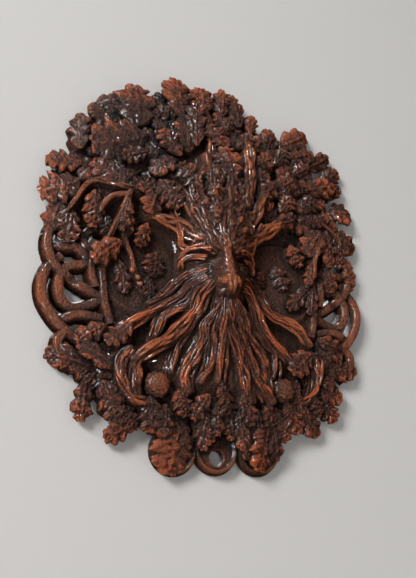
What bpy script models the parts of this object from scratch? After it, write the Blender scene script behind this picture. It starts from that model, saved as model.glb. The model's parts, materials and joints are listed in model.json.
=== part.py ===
"""Green man wall plaque: one flat-backed casting, carved in relief.

The wall is the plane y = 0 and the carved front looks along -Y. The plan of the carving is drawn on a
grid whose unit is a 240th of the plaque's height, so the carving keeps its proportions. Walls, bands, holes
and the hanging keyhole are real sizes of their own.
"""

import math

import bpy
import numpy as np

# Driving sizes, in metres
PLAQUE_HEIGHT = 0.240
PLATE_THICKNESS = 0.004
WALL_DRAFT_DEG = 79.0

EDGE_SWELL = 0.009
CROWN_SWELL = 0.013
TRUNK_SWELL = 0.014
BEARD_SWELL = 0.005
RIM_FALL = 0.004
RIM_WIDTH = 0.25
NOSE_RISE = 0.009
MASK_SINK = 0.001
BED_DROP = 0.007

DISC_RADIUS = 0.0245
DISC_FLOOR = 0.0050
DISC_LIP = 0.0012

BAND_WIDTH = 0.0054
BAND_HEIGHT = 0.0072
BAND_DIP = 0.0022
BAND_EDGE_DROP = 0.0008
POST_WIDTH = 0.0044
POST_RISE = 0.0015

LEAF_DOME = 0.0018
LEAF_STEM_WIDTH = 0.0020
LOBE_PAIRS = 3
LOBE_DEPTH = 0.18
LOBE_SWEEP = 0.35
ACORN_RADIUS = 0.0070
ACORN_RISE = 0.0055
BERRY_RADIUS = 0.0016
BERRY_RISE = 0.0040
DOME_SINK = 0.0020

FOOT_LOBE_RADIUS = 0.0123
FOOT_LIP_WIDTH = 0.0024
FOOT_LIP_RISE = 0.0016
FIXING_HOLE_RADIUS = 0.0042

KEYHOLE_HEAD_RADIUS = 0.0050
KEYHOLE_SLOT_WIDTH = 0.0052
KEYHOLE_RISE = 0.0085
KEYHOLE_DEPTH = 0.0070
KEYHOLE_LIP = 0.0022
NECK_STEP = 0.0005
POCKET_STEP = 0.0002
POCKET_INSET = 0.0003

# How finely the relief is surveyed, and how many faces it keeps
SURVEY_STEP = 0.0011
KEPT_FACES = 8400
CUT_MARGIN = 0.004

# One unit of the plan
UNIT = PLAQUE_HEIGHT / 240
WALL_SLOPE = math.tan(math.radians(WALL_DRAFT_DEG))
PLAN_HALF_WIDTH = 112 * UNIT
PLAN_FOOT = -118 * UNIT
PLAN_TOP = 138 * UNIT
RIM_MIDDLE = 10 * UNIT
RIM_REACH = (104 * UNIT, 121 * UNIT)

DISC_CENTRE = (43 * UNIT, 1 * UNIT)
FIXING_HOLE_PLACE = (-4 * UNIT, -101.3 * UNIT)
KEYHOLE_PLACE = (0.0, 62 * UNIT)
FOOT_LOBES = ((-27.5, -97), (-3.5, -97), (21.5, -98))
ACORNS = ((-38, -64), (37, -65))
BERRIES = ((-47, -5), (-45.5, -8.5), (-50, -1))

# Leaves: stem end x, z, tip x, z, width and lift above the general surface, in plan units
CROWN_LEFT = (
    (-16, 98, -18, 130, 21, 3), (-31, 104, -31, 120, 9, -1), (-46, 88, -46, 120, 25, 2),
    (-51, 99, -68, 108, 14, 1), (-57, 84, -72, 103, 17, 1), (-80, 69, -80, 94, 13, 1),
    (-40, 82, -74, 72, 27, 2), (-42, 69, -57, 64, 10, 4), (-78, 61, -98, 62, 16, 1),
    (-79, 49, -101, 39, 19, 1), (-51, 46, -73, 61, 14, 1), (-26, 68, -41, 56, 13, 3),
    (-22, 69, -33, 86, 13, 3), (-12, 47, -26, 62, 13, 3), (-37, 51, -25, 35, 15, 4),
    (-36, 47, -41, 31, 13, 3), (-50, 46, -36, 48, 9, 3), (-12, 78, -8, 113, 13, 3),
    (-18, 106, -34, 99, 12, 1), (-16, 74, -18, 99, 16, 1), (-58, 88, -70, 78, 10, 0),
)
CROWN_RIGHT = (
    (0, 110, -1, 129, 18, 1), (10, 107, 14, 131, 11, 2), (23, 103, 21, 130, 15, 0),
    (30, 99, 35, 115, 9, 0), (40, 87, 48, 105, 13, 0), (9, 80, -2, 96, 14, 3),
    (8, 57, 4, 79, 17, 3), (53, 97, 76, 112, 16, 1), (58, 87, 78, 96, 12, 2),
    (70, 83, 93, 98, 12, 1), (86, 75, 99, 88, 12, 0), (84, 65, 99, 76, 10, 0),
    (88, 57, 105, 58, 17, 0), (87, 40, 105, 32, 17, 0), (66, 64, 92, 73, 13, 2),
    (30, 74, 42, 82, 11, 1), (44, 78, 56, 90, 11, 1), (30, 52, 40, 62, 12, 2),
    (46, 62, 58, 72, 12, 1), (44, 44, 54, 56, 11, 1), (60, 50, 74, 58, 12, 1),
    (17, 84, 30, 96, 10, 1), (26, 63, 36, 72, 10, 0), (58, 74, 72, 84, 11, 1),
    (72, 46, 84, 52, 9, 0), (40, 36, 56, 42, 10, 2), (10, 92, 16, 108, 9, 0),
)
SIDE_LEFT = (
    (-71, 44, -72, 21, 12, 1), (-89, 37, -94, 19, 13, 0), (-83, 32, -87, 12, 12, 0),
    (-56, 15, -72, 1, 13, 4), (-57, 6, -54, -14, 9, 1), (-53, 41, -57, 20, 8, 3),
    (-52, 33, -53, 18, 7, 2), (-65, 31, -64, 17, 9, -1),
)
SIDE_RIGHT = (
    (75, 38, 62, 20, 15, 3), (66, 16, 61, -1, 7, 3), (80, 40, 80, 14, 11, 1),
    (90, 40, 90, 16, 10, 0), (96, 24, 97, 2, 10, 0), (78, 14, 79, -2, 10, 1),
    (64, 1, 47, -15, 9, 2), (66, 1, 62, -18, 8, 2), (66, 41, 78, 46, 9, 1),
)
DISC_LEAVES = (
    (-41, 27, -46, 13, 9, 3), (-35, 12, -37, -3, 14, 2), (-40, -2, -39, -16, 8, 1),
    (50, 25, 58, 12, 10, 3), (40, 12, 47, -3, 13, 1), (33, 8, 30, -4, 9, 1),
)
FOOT_LEFT = (
    (-68, -57, -96, -49, 13, 0), (-65, -33, -81, -43, 11, 1), (-59, -57, -80, -44, 10, 2),
    (-74, -61, -77, -83, 11, 0), (-67, -62, -59, -84, 13, 1), (-49, -81, -65, -92, 11, 0),
    (-51, -31, -66, -43, 11, 2), (-42, -70, -43, -89, 13, 1), (-28, -67, -23, -81, 11, 2),
    (-10, -69, -20, -83, 10, 2), (-13, -77, -8, -94, 9, 1), (-26, -84, -32, -108, 19, 1),
    (-56, -74, -50, -88, 11, 0), (-80, -56, -70, -64, 10, 0), (-3, -62, 1, -80, 10, 1),
)
FOOT_RIGHT = (
    (9, -69, 14, -86, 10, 2), (17, -77, 20, -90, 8, 1), (28, -85, 21, -107, 15, 1),
    (57, -43, 42, -55, 14, 3), (38, -71, 46, -89, 12, 1), (47, -75, 62, -89, 12, 0),
    (61, -64, 80, -67, 13, 0), (66, -70, 73, -82, 10, 0), (67, -52, 93, -50, 13, 0),
    (65, -33, 81, -39, 10, 1), (57, -65, 62, -79, 9, 1), (28, -72, 26, -88, 9, 0),
    (64, -58, 76, -60, 9, 0), (3, -76, 4, -93, 9, 0), (48, -58, 40, -74, 9, -1),
)
LEAVES = CROWN_LEFT + CROWN_RIGHT + SIDE_LEFT + SIDE_RIGHT + DISC_LEAVES + FOOT_LEFT + FOOT_RIGHT

# Strands: width at the root and at the end, lift, then the points that each runs through, in plan units
BRANCHES = (
    (9, 5, 2, (-3, 10), (-13, 26), (-20, 40), (-27, 50)),
    (8, 5, 2, (-2, 14), (-10, 30), (-15, 42), (-18, 54)),
    (11, 6, 2, (-4, 11), (-16, 20), (-27, 28), (-40, 32)),
    (9, 7, 2, (0, 12), (-1, 32), (-4, 52), (-6, 72)),
    (9, 7, 2, (2, 12), (5, 34), (7, 52), (8, 66)),
    (9, 8, 2, (3, 12), (13, 34), (20, 52), (24, 78), (24, 94)),
    (8, 5, 2, (4, 11), (20, 32), (28, 46), (34, 60)),
    (11, 6, 2, (4, 10), (18, 20), (32, 30), (46, 38)),
    (6, 5, 0, (-2, 70), (0, 90), (0, 112)),
    (6, 4, 0, (22, 76), (32, 92), (44, 98)),
)
BEARD = (
    (6, 3, 2, (-12, -1), (-20, -3), (-26, -8), (-32, -14), (-40, -19)),
    (5, 4, 2, (-12, -5), (-19, -9), (-25, -15), (-33, -20), (-41, -24), (-49, -29), (-57, -35)),
    (5, 4, 1, (-12, -8), (-17, -14), (-20, -20), (-27, -23), (-34, -28), (-38, -37)),
    (6, 6, 3, (-10, -9), (-16, -17), (-19, -25), (-25, -32), (-32, -39), (-42, -45), (-51, -51)),
    (4, 3, 0, (-8, -11), (-13, -18), (-15, -26), (-20, -34), (-27, -45), (-30, -57)),
    (5, 7, 1, (-6, -15), (-6, -22), (-9, -28), (-13, -33), (-13, -40), (-18, -48), (-23, -57), (-22, -67)),
    (4, 4, 1, (-4, -17), (-5, -28), (-8, -37), (-8, -50), (-14, -62)),
    (4, 4, 2, (-1, -18), (-2, -28), (-4, -40), (-5, -52), (-5, -62)),
    (5, 4, 2, (1, -18), (5, -26), (8, -33), (7, -41)),
    (5, 9, 2, (0, -20), (1, -32), (5, -42), (9, -52), (12, -63), (14, -72)),
    (4, 7, 2, (6, -34), (12, -44), (17, -54), (21, -63), (29, -71)),
    (5, 5, 2, (4, -18), (10, -27), (14, -36), (20, -44), (24, -52), (25, -62), (27, -70)),
    (5, 4, 3, (9, -11), (15, -12), (20, -19), (24, -29), (30, -37), (36, -43), (43, -49)),
    (4, 3, 1, (14, -24), (18, -33), (25, -40), (32, -44), (32, -50), (31, -58)),
    (5, 4, 2, (12, -5), (22, -6), (28, -14), (36, -21), (45, -24), (53, -29), (59, -37)),
    (5, 3, 1, (11, -2), (24, -1), (30, -8), (34, -16), (42, -21)),
    (6, 7, 1, (-40, -44), (-48, -50), (-50, -59), (-49, -69)),
    (7, 5, 2, (-53, -46), (-58, -54), (-57, -63), (-52, -71), (-44, -74)),
    (6, 4, 1, (62, -46), (62, -56), (58, -66), (50, -72)),
)
TWIGS = (
    (2.6, 2.2, 2, (-50, 46), (-60, 47), (-70, 49), (-76, 46), (-81, 38), (-86, 30)),
    (2.4, 2.0, 2, (-52, 42), (-61, 41), (-66, 36), (-69, 30)),
    (3.4, 2.6, 2, (-52, 44), (-56, 32), (-60, 24), (-65, 12)),
    (2.8, 1.8, 2, (-56, 30), (-54, 18), (-50, 8), (-47, -5), (-43, -12)),
    (3.4, 2.4, 3, (72, 34), (68, 18), (66, 7), (61, 0)),
    (2.6, 2.2, 1, (70, 46), (80, 42), (88, 34), (90, 26)),
)
CHEEKS = (
    (3.4, 2.8, 3, (-9, 10), (-14, 12), (-20, 11), (-24, 7)),
    (3.0, 4.2, 3, (-12, 5), (-18, 7), (-22, 5), (-22, 1)),
    (3.2, 2.6, 3, (-12, 22), (-22, 23), (-24, 17), (-20, 13), (-16, 15), (-18, 18)),
)

# Knotwork on the left edge; the right edge is its mirror image. Each band: the share of its length at
# which it dips under another, then its points in plan units
KNOT_BANDS = (
    (0.02, (-89, 26), (-94, 20), (-95.5, 10), (-92, 0), (-86, -6)),
    (0.10, (-88, 5), (-94, -1), (-97.6, -9), (-98, -17), (-95, -25), (-89, -33), (-82, -39), (-74, -44)),
    (
        0.80, (-66, 6), (-76, 1), (-84, -1), (-88.5, -7), (-89.5, -14), (-87.5, -20), (-82, -23.5),
        (-75, -22), (-66, -18),
    ),
    (0.25, (-86, -6), (-80, -10), (-73, -14), (-66, -17)),
    (0.10, (-91, -33), (-85, -29.5), (-78, -27.5), (-66, -29)),
    (0.05, (-96, 12), (-88, 10), (-80, 10), (-74, 4), (-68, -6)),
    (0.50, (-64, 22), (-71, 23), (-76, 17), (-74, 11), (-66, 9)),
    (0.90, (-84, -36), (-89, -42), (-87, -50), (-80, -56)),
)
POSTS = (
    ((-67, 4), (-66, -8), (-65, -20), (-62, -32)),
    ((-72, 3), (-72, -4), (-70, -12)),
)


def facing(side, points):
    """Points drawn for the left (-1), or their mirror image for the right (1)."""
    return [(-side * px, pz) for px, pz in points]


def bump(x, z, cx, cz, rx, rz):
    """A smooth hill of height 1; centre and reach in plan units."""
    return np.exp(-(((x / UNIT - cx) / rx) ** 2) - ((z / UNIT - cz) / rz) ** 2)


def swell(x, z):
    """Height above the wall of the carving's general surface."""
    height = EDGE_SWELL + CROWN_SWELL * bump(x, z, 0, 60, 62, 44)
    height = height + TRUNK_SWELL * bump(x, z, 0, -6, 24, 40) + BEARD_SWELL * bump(x, z, 0, -55, 60, 38)
    outwards = np.hypot(x / RIM_REACH[0], (z - RIM_MIDDLE) / RIM_REACH[1])
    height = height - RIM_FALL * np.clip((outwards - 1 + RIM_WIDTH) / RIM_WIDTH, 0, 1) ** 2
    for side in (-1, 1):
        away = np.hypot(x - side * DISC_CENTRE[0], z - DISC_CENTRE[1]) / DISC_RADIUS
        height = height - (height - DISC_FLOOR - LEAF_DOME) * np.exp(-(away**4))
    return height


def path_through(points, step):
    """A smooth path through plan points, as an array of places a step apart, with the share run at each."""
    knots = [np.array(p, float) * UNIT for p in points]
    knots = [2 * knots[0] - knots[1], *knots, 2 * knots[-1] - knots[-2]]
    places = []
    for a, b, c, d in zip(knots, knots[1:], knots[2:], knots[3:]):
        for t in np.arange(0, 1, step / max(np.linalg.norm(c - b), step)):
            places.append(
                0.5 * (2 * b + (c - a) * t + (2 * a - 5 * b + 4 * c - d) * t**2 + (3 * b - a - 3 * c + d) * t**3)
            )
    places.append(knots[-2])
    places = np.array(places)
    run = np.concatenate([[0], np.cumsum(np.linalg.norm(np.diff(places, axis=0), axis=1))])
    return places, run / run[-1]


def window(x, z, low, high, margin):
    """The slices of the survey grid that hold a box of the plan, with a margin."""
    columns = np.searchsorted(x[0], (low[0] - margin, high[0] + margin))
    rows = np.searchsorted(z[:, 0], (low[1] - margin, high[1] + margin))
    return slice(*rows), slice(*columns)


def along_path(x, z, places, shares):
    """Distance from each place to a path, and the share of the path run at the nearest point."""
    square = (x[..., None] - places[:, 0]) ** 2 + (z[..., None] - places[:, 1]) ** 2
    nearest = square.argmin(axis=-1)
    return np.sqrt(square.min(axis=-1)), shares[nearest]


def raised(relief, spot, height):
    """Raises part of the relief to a height, where that is higher."""
    relief[spot] = np.maximum(relief[spot], height)


def lay_strand(relief, x, z, strand, crest=0.55):
    """A rounded root, branch or lock that tapers from its root to its end."""
    root, end, lift, *points = strand
    places, shares = path_through(points, SURVEY_STEP)
    reach = max(root, end) * UNIT
    spot = window(x, z, places.min(0), places.max(0), reach)
    away, share = along_path(x[spot], z[spot], places, shares)
    half = (root + (end - root) * share) * UNIT / 2
    across = np.clip(away / half, 0, 1)
    top = swell(x[spot], z[spot]) + lift * UNIT - half * crest * (1 - np.sqrt(1 - across**2 * 0.96))
    raised(relief, spot, top - np.maximum(away - half, 0) * WALL_SLOPE)


def leaf_half_width(share, width):
    """Half the width of a lobed leaf at a share of its length."""
    inside = np.clip(share, 0, 1)
    envelope = np.sin(np.pi * inside**0.85) ** 0.5
    return width / 2 * envelope * (1 - LOBE_DEPTH * (1 + np.cos(2 * np.pi * LOBE_PAIRS * (inside - 0.04))))


def lay_leaf(relief, x, z, leaf):
    """A domed, lobed oak leaf whose lobes sweep towards its tip."""
    stem_x, stem_z, tip_x, tip_z, width, lift = (value * UNIT for value in leaf)
    length = math.hypot(tip_x - stem_x, tip_z - stem_z)
    ahead = ((tip_x - stem_x) / length, (tip_z - stem_z) / length)
    low, high = (min(stem_x, tip_x), min(stem_z, tip_z)), (max(stem_x, tip_x), max(stem_z, tip_z))
    spot = window(x, z, low, high, width)
    along = (x[spot] - stem_x) * ahead[0] + (z[spot] - stem_z) * ahead[1]
    across = np.abs((z[spot] - stem_z) * ahead[0] - (x[spot] - stem_x) * ahead[1])
    share = (along - LOBE_SWEEP * across) / length
    half = np.maximum(leaf_half_width(share, width), LEAF_STEM_WIDTH / 2)
    past = np.maximum(np.maximum(share - 1, -share - 0.05), 0) * length
    outside = np.maximum(across - half, 0) * 0.75 + past
    middle = ((stem_x + tip_x) / 2, (stem_z + tip_z) / 2)
    seat = swell(*middle) * 0.5 + swell(x[spot], z[spot]) * 0.5 + lift
    q = np.clip(across / half, 0, 1)
    top = seat - LEAF_DOME * q**2 - LEAF_DOME * 0.8 * (2 * np.clip(share, 0, 1) - 1) ** 2
    raised(relief, spot, top - outside * WALL_SLOPE)


def lay_band(relief, x, z, points, width, height, dip_at=None):
    """A flat-faced band with softened edges, which may dip where it passes under another."""
    places, shares = path_through(points, SURVEY_STEP)
    spot = window(x, z, places.min(0), places.max(0), width)
    away, share = along_path(x[spot], z[spot], places, shares)
    top = height - BAND_EDGE_DROP * np.clip(away / (width / 2), 0, 1) ** 4
    if dip_at is not None:
        top = top - BAND_DIP * np.exp(-(((share - dip_at) / 0.12) ** 2))
    raised(relief, spot, top - np.maximum(away - width / 2, 0) * WALL_SLOPE)


def lay_plate(relief, x, z):
    """The plate behind the carving: a crown, a waist between the pierced edges, and a skirt with lobes."""
    u, v = x / UNIT, z / UNIT
    crown = (1 - np.hypot(u / 88, (v - 50) / 64)) * 70
    crown = np.minimum(crown, v - 23)
    waist = np.minimum(66 - np.abs(u), 70 - np.abs(v))
    skirt = (1 - np.hypot(u / 70, (v + 44) / 47)) * 55
    skirt = np.minimum(skirt, -40 - v)
    inside = np.maximum(np.maximum(crown, waist), skirt) * UNIT
    raised(relief, np.s_[:, :], np.minimum(PLATE_THICKNESS, inside * WALL_SLOPE))
    bed = swell(x, z) - BED_DROP
    raised(relief, np.s_[:, :], np.where(inside > BED_DROP, bed, -CUT_MARGIN))
    for cx, cz in FOOT_LOBES:
        away = np.hypot(x - cx * UNIT, z - cz * UNIT)
        lip = FOOT_LIP_RISE * (np.abs(away - FOOT_LOBE_RADIUS + FOOT_LIP_WIDTH / 2) < FOOT_LIP_WIDTH / 2)
        fall = np.maximum(away - FOOT_LOBE_RADIUS, 0) * WALL_SLOPE
        raised(relief, np.s_[:, :], PLATE_THICKNESS + lip - fall)


def clear_discs(relief, x, z):
    """Sinks the two discs beside the trunk and runs a fine lip round each."""
    for side in (-1, 1):
        away = np.hypot(x - side * DISC_CENTRE[0], z - DISC_CENTRE[1])
        inside = away < DISC_RADIUS
        relief[inside] = np.minimum(relief[inside], DISC_FLOOR)
        lip = DISC_FLOOR + DISC_LIP * np.exp(-(((away - DISC_RADIUS) / DISC_LIP) ** 2))
        raised(relief, np.s_[:, :], np.where(away < DISC_RADIUS + 2 * DISC_LIP, lip, -CUT_MARGIN))


def lay_face(relief, x, z):
    """The mask in the trunk: bridge and tip of the nose, its wings, brow, cheeks and sunken eyes."""
    ground = swell(x, z)
    bridge = NOSE_RISE * 0.55 * bump(x, z, 0.5, 0, 6.5, 13)
    tip = NOSE_RISE * 0.75 * bump(x, z, 0, -11, 7.5, 6.5)
    wings = NOSE_RISE * 0.40 * (bump(x, z, -7, -9, 3.4, 4) + bump(x, z, 7, -9, 3.4, 4))
    brow = NOSE_RISE * 0.45 * (bump(x, z, -9, 15, 8, 4) + bump(x, z, 9, 15, 8, 4) + bump(x, z, 0, 14, 6, 7))
    cheeks = NOSE_RISE * 0.35 * (bump(x, z, -15, 2, 8, 8) + bump(x, z, 15, 2, 8, 8))
    eyes = NOSE_RISE * 0.55 * (bump(x, z, -9, 8, 3.6, 2.6) + bump(x, z, 9, 8, 3.6, 2.6))
    mask = bump(x, z, 0, 2, 22, 22) > 0.30
    face = ground + bridge + tip + wings + brow + cheeks - eyes - MASK_SINK
    raised(relief, np.s_[:, :], np.where(mask, face, -CUT_MARGIN))


def lay_domes(relief, x, z):
    """Acorns among the foot's leaves, seated a little low, and berries on a twig."""
    for places, radius, rise in ((ACORNS, ACORN_RADIUS, ACORN_RISE), (BERRIES, BERRY_RADIUS, BERRY_RISE)):
        for cx, cz in places:
            away = np.hypot(x - cx * UNIT, z - cz * UNIT) / radius
            seat = swell(cx * UNIT, cz * UNIT) - DOME_SINK
            dome = seat + rise * np.sqrt(np.clip(1 - away**2, 0, 1))
            raised(relief, np.s_[:, :], np.where(away < 1, dome, -CUT_MARGIN))


def survey():
    """The relief's height above the wall over the whole plan."""
    columns = np.arange(-PLAN_HALF_WIDTH, PLAN_HALF_WIDTH, SURVEY_STEP)
    rows = np.arange(PLAN_FOOT, PLAN_TOP, SURVEY_STEP)
    x, z = np.meshgrid(columns, rows)
    relief = np.full(x.shape, -CUT_MARGIN)
    lay_plate(relief, x, z)
    clear_discs(relief, x, z)
    lay_face(relief, x, z)
    for side in (-1, 1):
        for dip_at, *points in KNOT_BANDS:
            lay_band(relief, x, z, facing(side, points), BAND_WIDTH, BAND_HEIGHT, dip_at)
        for points in POSTS:
            lay_band(relief, x, z, facing(side, points), POST_WIDTH, BAND_HEIGHT + POST_RISE)
        for root, end, lift, *points in CHEEKS:
            lay_strand(relief, x, z, (root, end, lift, *facing(side, points)))
    for strand in BRANCHES + BEARD + TWIGS:
        lay_strand(relief, x, z, strand)
    for leaf in LEAVES:
        lay_leaf(relief, x, z, leaf)
    lay_domes(relief, x, z)
    return x, z, np.maximum(relief, -CUT_MARGIN)


def slab(name, x, z, relief):
    """A closed rectangular slab whose front face is the relief."""
    rows, columns = x.shape
    front = np.stack([x, -relief, z], axis=-1).reshape(-1, 3)
    index = np.arange(rows * columns).reshape(rows, columns)
    a, b, c, d = index[:-1, :-1], index[:-1, 1:], index[1:, 1:], index[1:, :-1]
    faces = np.stack([a, b, c, d], axis=-1).reshape(-1, 4).tolist()
    rim = np.concatenate([index[0, :-1], index[:-1, -1], index[-1, :0:-1], index[:0:-1, 0]]).tolist()
    behind = front[rim] * (1, 0, 1) + (0, 2 * CUT_MARGIN, 0)
    count = len(rim)
    for i, place in enumerate(rim):
        after = (i + 1) % count
        faces.append((rim[after], place, rows * columns + i, rows * columns + after))
    faces.append(tuple(range(rows * columns + count - 1, rows * columns - 1, -1)))
    mesh = bpy.data.meshes.new(name)
    mesh.from_pydata(np.concatenate([front, behind]), [], faces)
    mesh.validate()
    plaque = bpy.data.objects.new(name, mesh)
    bpy.context.scene.collection.objects.link(plaque)
    return plaque


def cutter(name, mesh):
    """A helper that only cuts."""
    helper = bpy.data.objects.new(name, mesh)
    helper.hide_render = True
    helper.display_type = "WIRE"
    bpy.context.scene.collection.objects.link(helper)
    return helper


def prism(name, outline, near, far):
    """A closed prism from an outline in the plane of the wall, between two distances in front of it."""
    count = len(outline)
    points = [(px, -near, pz) for px, pz in outline] + [(px, -far, pz) for px, pz in outline]
    faces = [tuple(range(count))[::-1], tuple(range(count, 2 * count))]
    faces += [(i, (i + 1) % count, (i + 1) % count + count, i + count) for i in range(count)]
    mesh = bpy.data.meshes.new(name)
    mesh.from_pydata(points, [], faces)
    volume = sum(
        np.dot(points[f[0]], np.cross(points[f[i]], points[f[i + 1]]))
        for f in faces
        for i in range(1, len(f) - 1)
    )
    if volume < 0:
        mesh.flip_normals()
    return cutter(name, mesh)


def circle(place, radius, count=24):
    """An outline round a place of the plan."""
    turns = [2 * math.pi * (i + 0.5) / count for i in range(count)]
    return [(place[0] + radius * math.cos(t), place[1] + radius * math.sin(t)) for t in turns]


def slot(place, width, rise, count=12):
    """An outline that runs upwards from a place and ends round."""
    turns = [math.pi * i / count for i in range(count + 1)]
    arch = [(place[0] + width / 2 * math.cos(t), place[1] + rise + width / 2 * math.sin(t)) for t in turns]
    return arch + [(place[0] - width / 2, place[1]), (place[0] + width / 2, place[1])]


def cut(target, helper, operation="DIFFERENCE"):
    """Adds a Boolean that cuts the target with a helper."""
    boolean = target.modifiers.new(helper.name, "BOOLEAN")
    boolean.operation = operation
    boolean.object = helper


def resin():
    """Dark coppery brown paint under gloss varnish."""
    material = bpy.data.materials.new("bronzed_resin")
    material.use_nodes = True
    shader = material.node_tree.nodes["Principled BSDF"]
    shader.inputs["Base Color"].default_value = (0.10, 0.038, 0.024, 1)
    shader.inputs["Metallic"].default_value = 0.25
    shader.inputs["Roughness"].default_value = 0.32
    return material


def build():
    """The casting, struck flat at the wall, pierced and given its hanging keyhole."""
    for old in list(bpy.data.objects):
        bpy.data.objects.remove(old)
    x, z, relief = survey()
    plaque = slab("green_man_plaque", x, z, relief)
    plaque.data.materials.append(resin())
    thin = plaque.modifiers.new("fewer_faces", "DECIMATE")
    thin.ratio = KEPT_FACES / (2 * x.size)
    thin.use_collapse_triangulate = True
    block = [
        (-2 * PLAN_HALF_WIDTH, 2 * PLAN_FOOT), (2 * PLAN_HALF_WIDTH, 2 * PLAN_FOOT),
        (2 * PLAN_HALF_WIDTH, 2 * PLAN_TOP), (-2 * PLAN_HALF_WIDTH, 2 * PLAN_TOP),
    ]
    cut(plaque, prism("front_of_wall", block, 0, PLAQUE_HEIGHT), "INTERSECT")
    hole = circle(FIXING_HOLE_PLACE, FIXING_HOLE_RADIUS)
    cut(plaque, prism("fixing_hole", hole, -CUT_MARGIN, PLAQUE_HEIGHT / 4))
    head = prism("keyhole_head", circle(KEYHOLE_PLACE, KEYHOLE_HEAD_RADIUS), -CUT_MARGIN, KEYHOLE_DEPTH)
    cut(plaque, head)
    neck = slot(KEYHOLE_PLACE, KEYHOLE_SLOT_WIDTH, KEYHOLE_RISE)
    cut(plaque, prism("keyhole_neck", neck, -CUT_MARGIN, KEYHOLE_DEPTH - NECK_STEP))
    pocket = slot(KEYHOLE_PLACE, 2 * (KEYHOLE_HEAD_RADIUS - POCKET_INSET), KEYHOLE_RISE)
    cut(plaque, prism("keyhole_pocket", pocket, KEYHOLE_LIP, KEYHOLE_DEPTH - POCKET_STEP))


build()
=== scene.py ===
"""Looks of a green man wall plaque, modelled around its packed casting.

Each piece is drawn in millimetres on the plan of the carving, as x across the wall, z up it and h off it,
and is turned into metres once, when its mesh is made. The wall is the plane y = 0; the carving faces -Y.
"""

import json
import logging
import math
from dataclasses import dataclass, field
from enum import Enum

import bmesh
import bpy
import numpy as np
from mathutils import Matrix, Vector

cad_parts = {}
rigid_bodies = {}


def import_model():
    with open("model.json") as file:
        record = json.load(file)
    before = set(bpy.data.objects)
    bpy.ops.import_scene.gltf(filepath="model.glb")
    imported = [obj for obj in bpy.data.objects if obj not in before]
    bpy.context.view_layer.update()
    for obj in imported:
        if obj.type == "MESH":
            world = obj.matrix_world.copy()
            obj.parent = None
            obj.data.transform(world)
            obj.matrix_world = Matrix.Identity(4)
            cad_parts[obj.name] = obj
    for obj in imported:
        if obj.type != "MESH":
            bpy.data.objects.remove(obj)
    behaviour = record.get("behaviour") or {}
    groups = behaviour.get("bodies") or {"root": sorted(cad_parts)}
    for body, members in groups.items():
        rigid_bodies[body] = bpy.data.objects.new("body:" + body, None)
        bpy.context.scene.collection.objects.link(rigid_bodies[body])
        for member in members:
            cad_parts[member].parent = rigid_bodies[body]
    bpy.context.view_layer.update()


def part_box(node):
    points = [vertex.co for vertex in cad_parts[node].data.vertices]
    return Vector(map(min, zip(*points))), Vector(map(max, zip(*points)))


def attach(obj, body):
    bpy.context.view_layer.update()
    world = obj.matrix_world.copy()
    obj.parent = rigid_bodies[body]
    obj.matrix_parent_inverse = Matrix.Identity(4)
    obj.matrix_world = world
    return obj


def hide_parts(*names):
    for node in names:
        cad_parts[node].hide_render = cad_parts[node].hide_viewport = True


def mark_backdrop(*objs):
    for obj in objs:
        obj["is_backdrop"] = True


LOG = logging.getLogger("plaque")
NODE = "green_man_plaque"
PLAN_LENGTH = 244.0
WALL_GAP = 0.3
SHARP_ANGLE = math.radians(55)
WALL_SLOPE = math.tan(math.radians(79))
Array = np.ndarray
Object = bpy.types.Object
Socket = bpy.types.NodeSocket
Material = bpy.types.Material
Row = tuple[float, ...]
Point = tuple[float, float]
Line = tuple[Array, Array]
Cuts = list[tuple[Object, str]]


def bump(x: Array, z: Array, cx: float, cz: float, rx: float, rz: float) -> Array:
    """A smooth hill.

    Args: x, z, places on the plan; cx, cz, the hill's centre; rx, rz, its reach each way.
    Returns: its height at each place, up to 1.
    """
    return np.exp(-(((x - cx) / rx) ** 2) - ((z - cz) / rz) ** 2)


def twins(x: Array, z: Array, cx: float, cz: float, rx: float, rz: float) -> Array:
    """The same hill at both sides of the middle."""
    return bump(x, z, -cx, cz, rx, rz) + bump(x, z, cx, cz, rx, rz)


def smooth(value: Array, low: float, high: float) -> Array:
    """A smooth step.

    Args: value, what is compared; low, high, where the step starts and ends.
    Returns: 0 to 1 at each value.
    """
    t = np.clip((value - low) / (high - low), 0, 1)
    return t * t * (3 - 2 * t)


def ripple(x: Array, z: Array, wavelength: float, seed: int, waves: int = 9) -> Array:
    """Gentle irregular unevenness, the same each run.

    Args: x, z, places on the plan; wavelength, the usual distance between crests; seed, chooses the pattern;
        waves, how many are added up.
    Returns: the unevenness at each place, between about -1 and 1.
    """
    rng = np.random.default_rng(seed)
    total = np.zeros(np.broadcast(x, z).shape)
    for _ in range(waves):
        turn, phase = rng.uniform(0, 2 * math.pi, 2)
        pitch = wavelength * rng.uniform(0.6, 1.6)
        total += np.sin(2 * math.pi * (x * math.cos(turn) + z * math.sin(turn)) / pitch + phase)
    return total / math.sqrt(waves)


def circle(centre: Point, radius: float, count: int, start: float = 0.5) -> list[Point]:
    """A circle of plan points.

    Args: centre, radius, its place and size; count, how many points; start, the first one's turn in steps.
    Returns: the points.
    """
    turns = (np.arange(count) + start) / count * 2 * math.pi
    return [(centre[0] + radius * math.cos(t), centre[1] + radius * math.sin(t)) for t in turns]


def sheet_faces(rows: int, columns: int) -> tuple[Array, Array]:
    """The faces of a sheet of vertices.

    Args: rows, columns, how many vertices it has each way.
    Returns: rows of four vertex numbers, and those round its rim in order.
    """
    index = np.arange(rows * columns).reshape(rows, columns)
    faces = np.stack([index[:-1, :-1], index[:-1, 1:], index[1:, 1:], index[1:, :-1]], axis=-1).reshape(-1, 4)
    return faces, np.concatenate([index[0, :-1], index[:-1, -1], index[-1, :0:-1], index[:0:-1, 0]])


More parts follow.
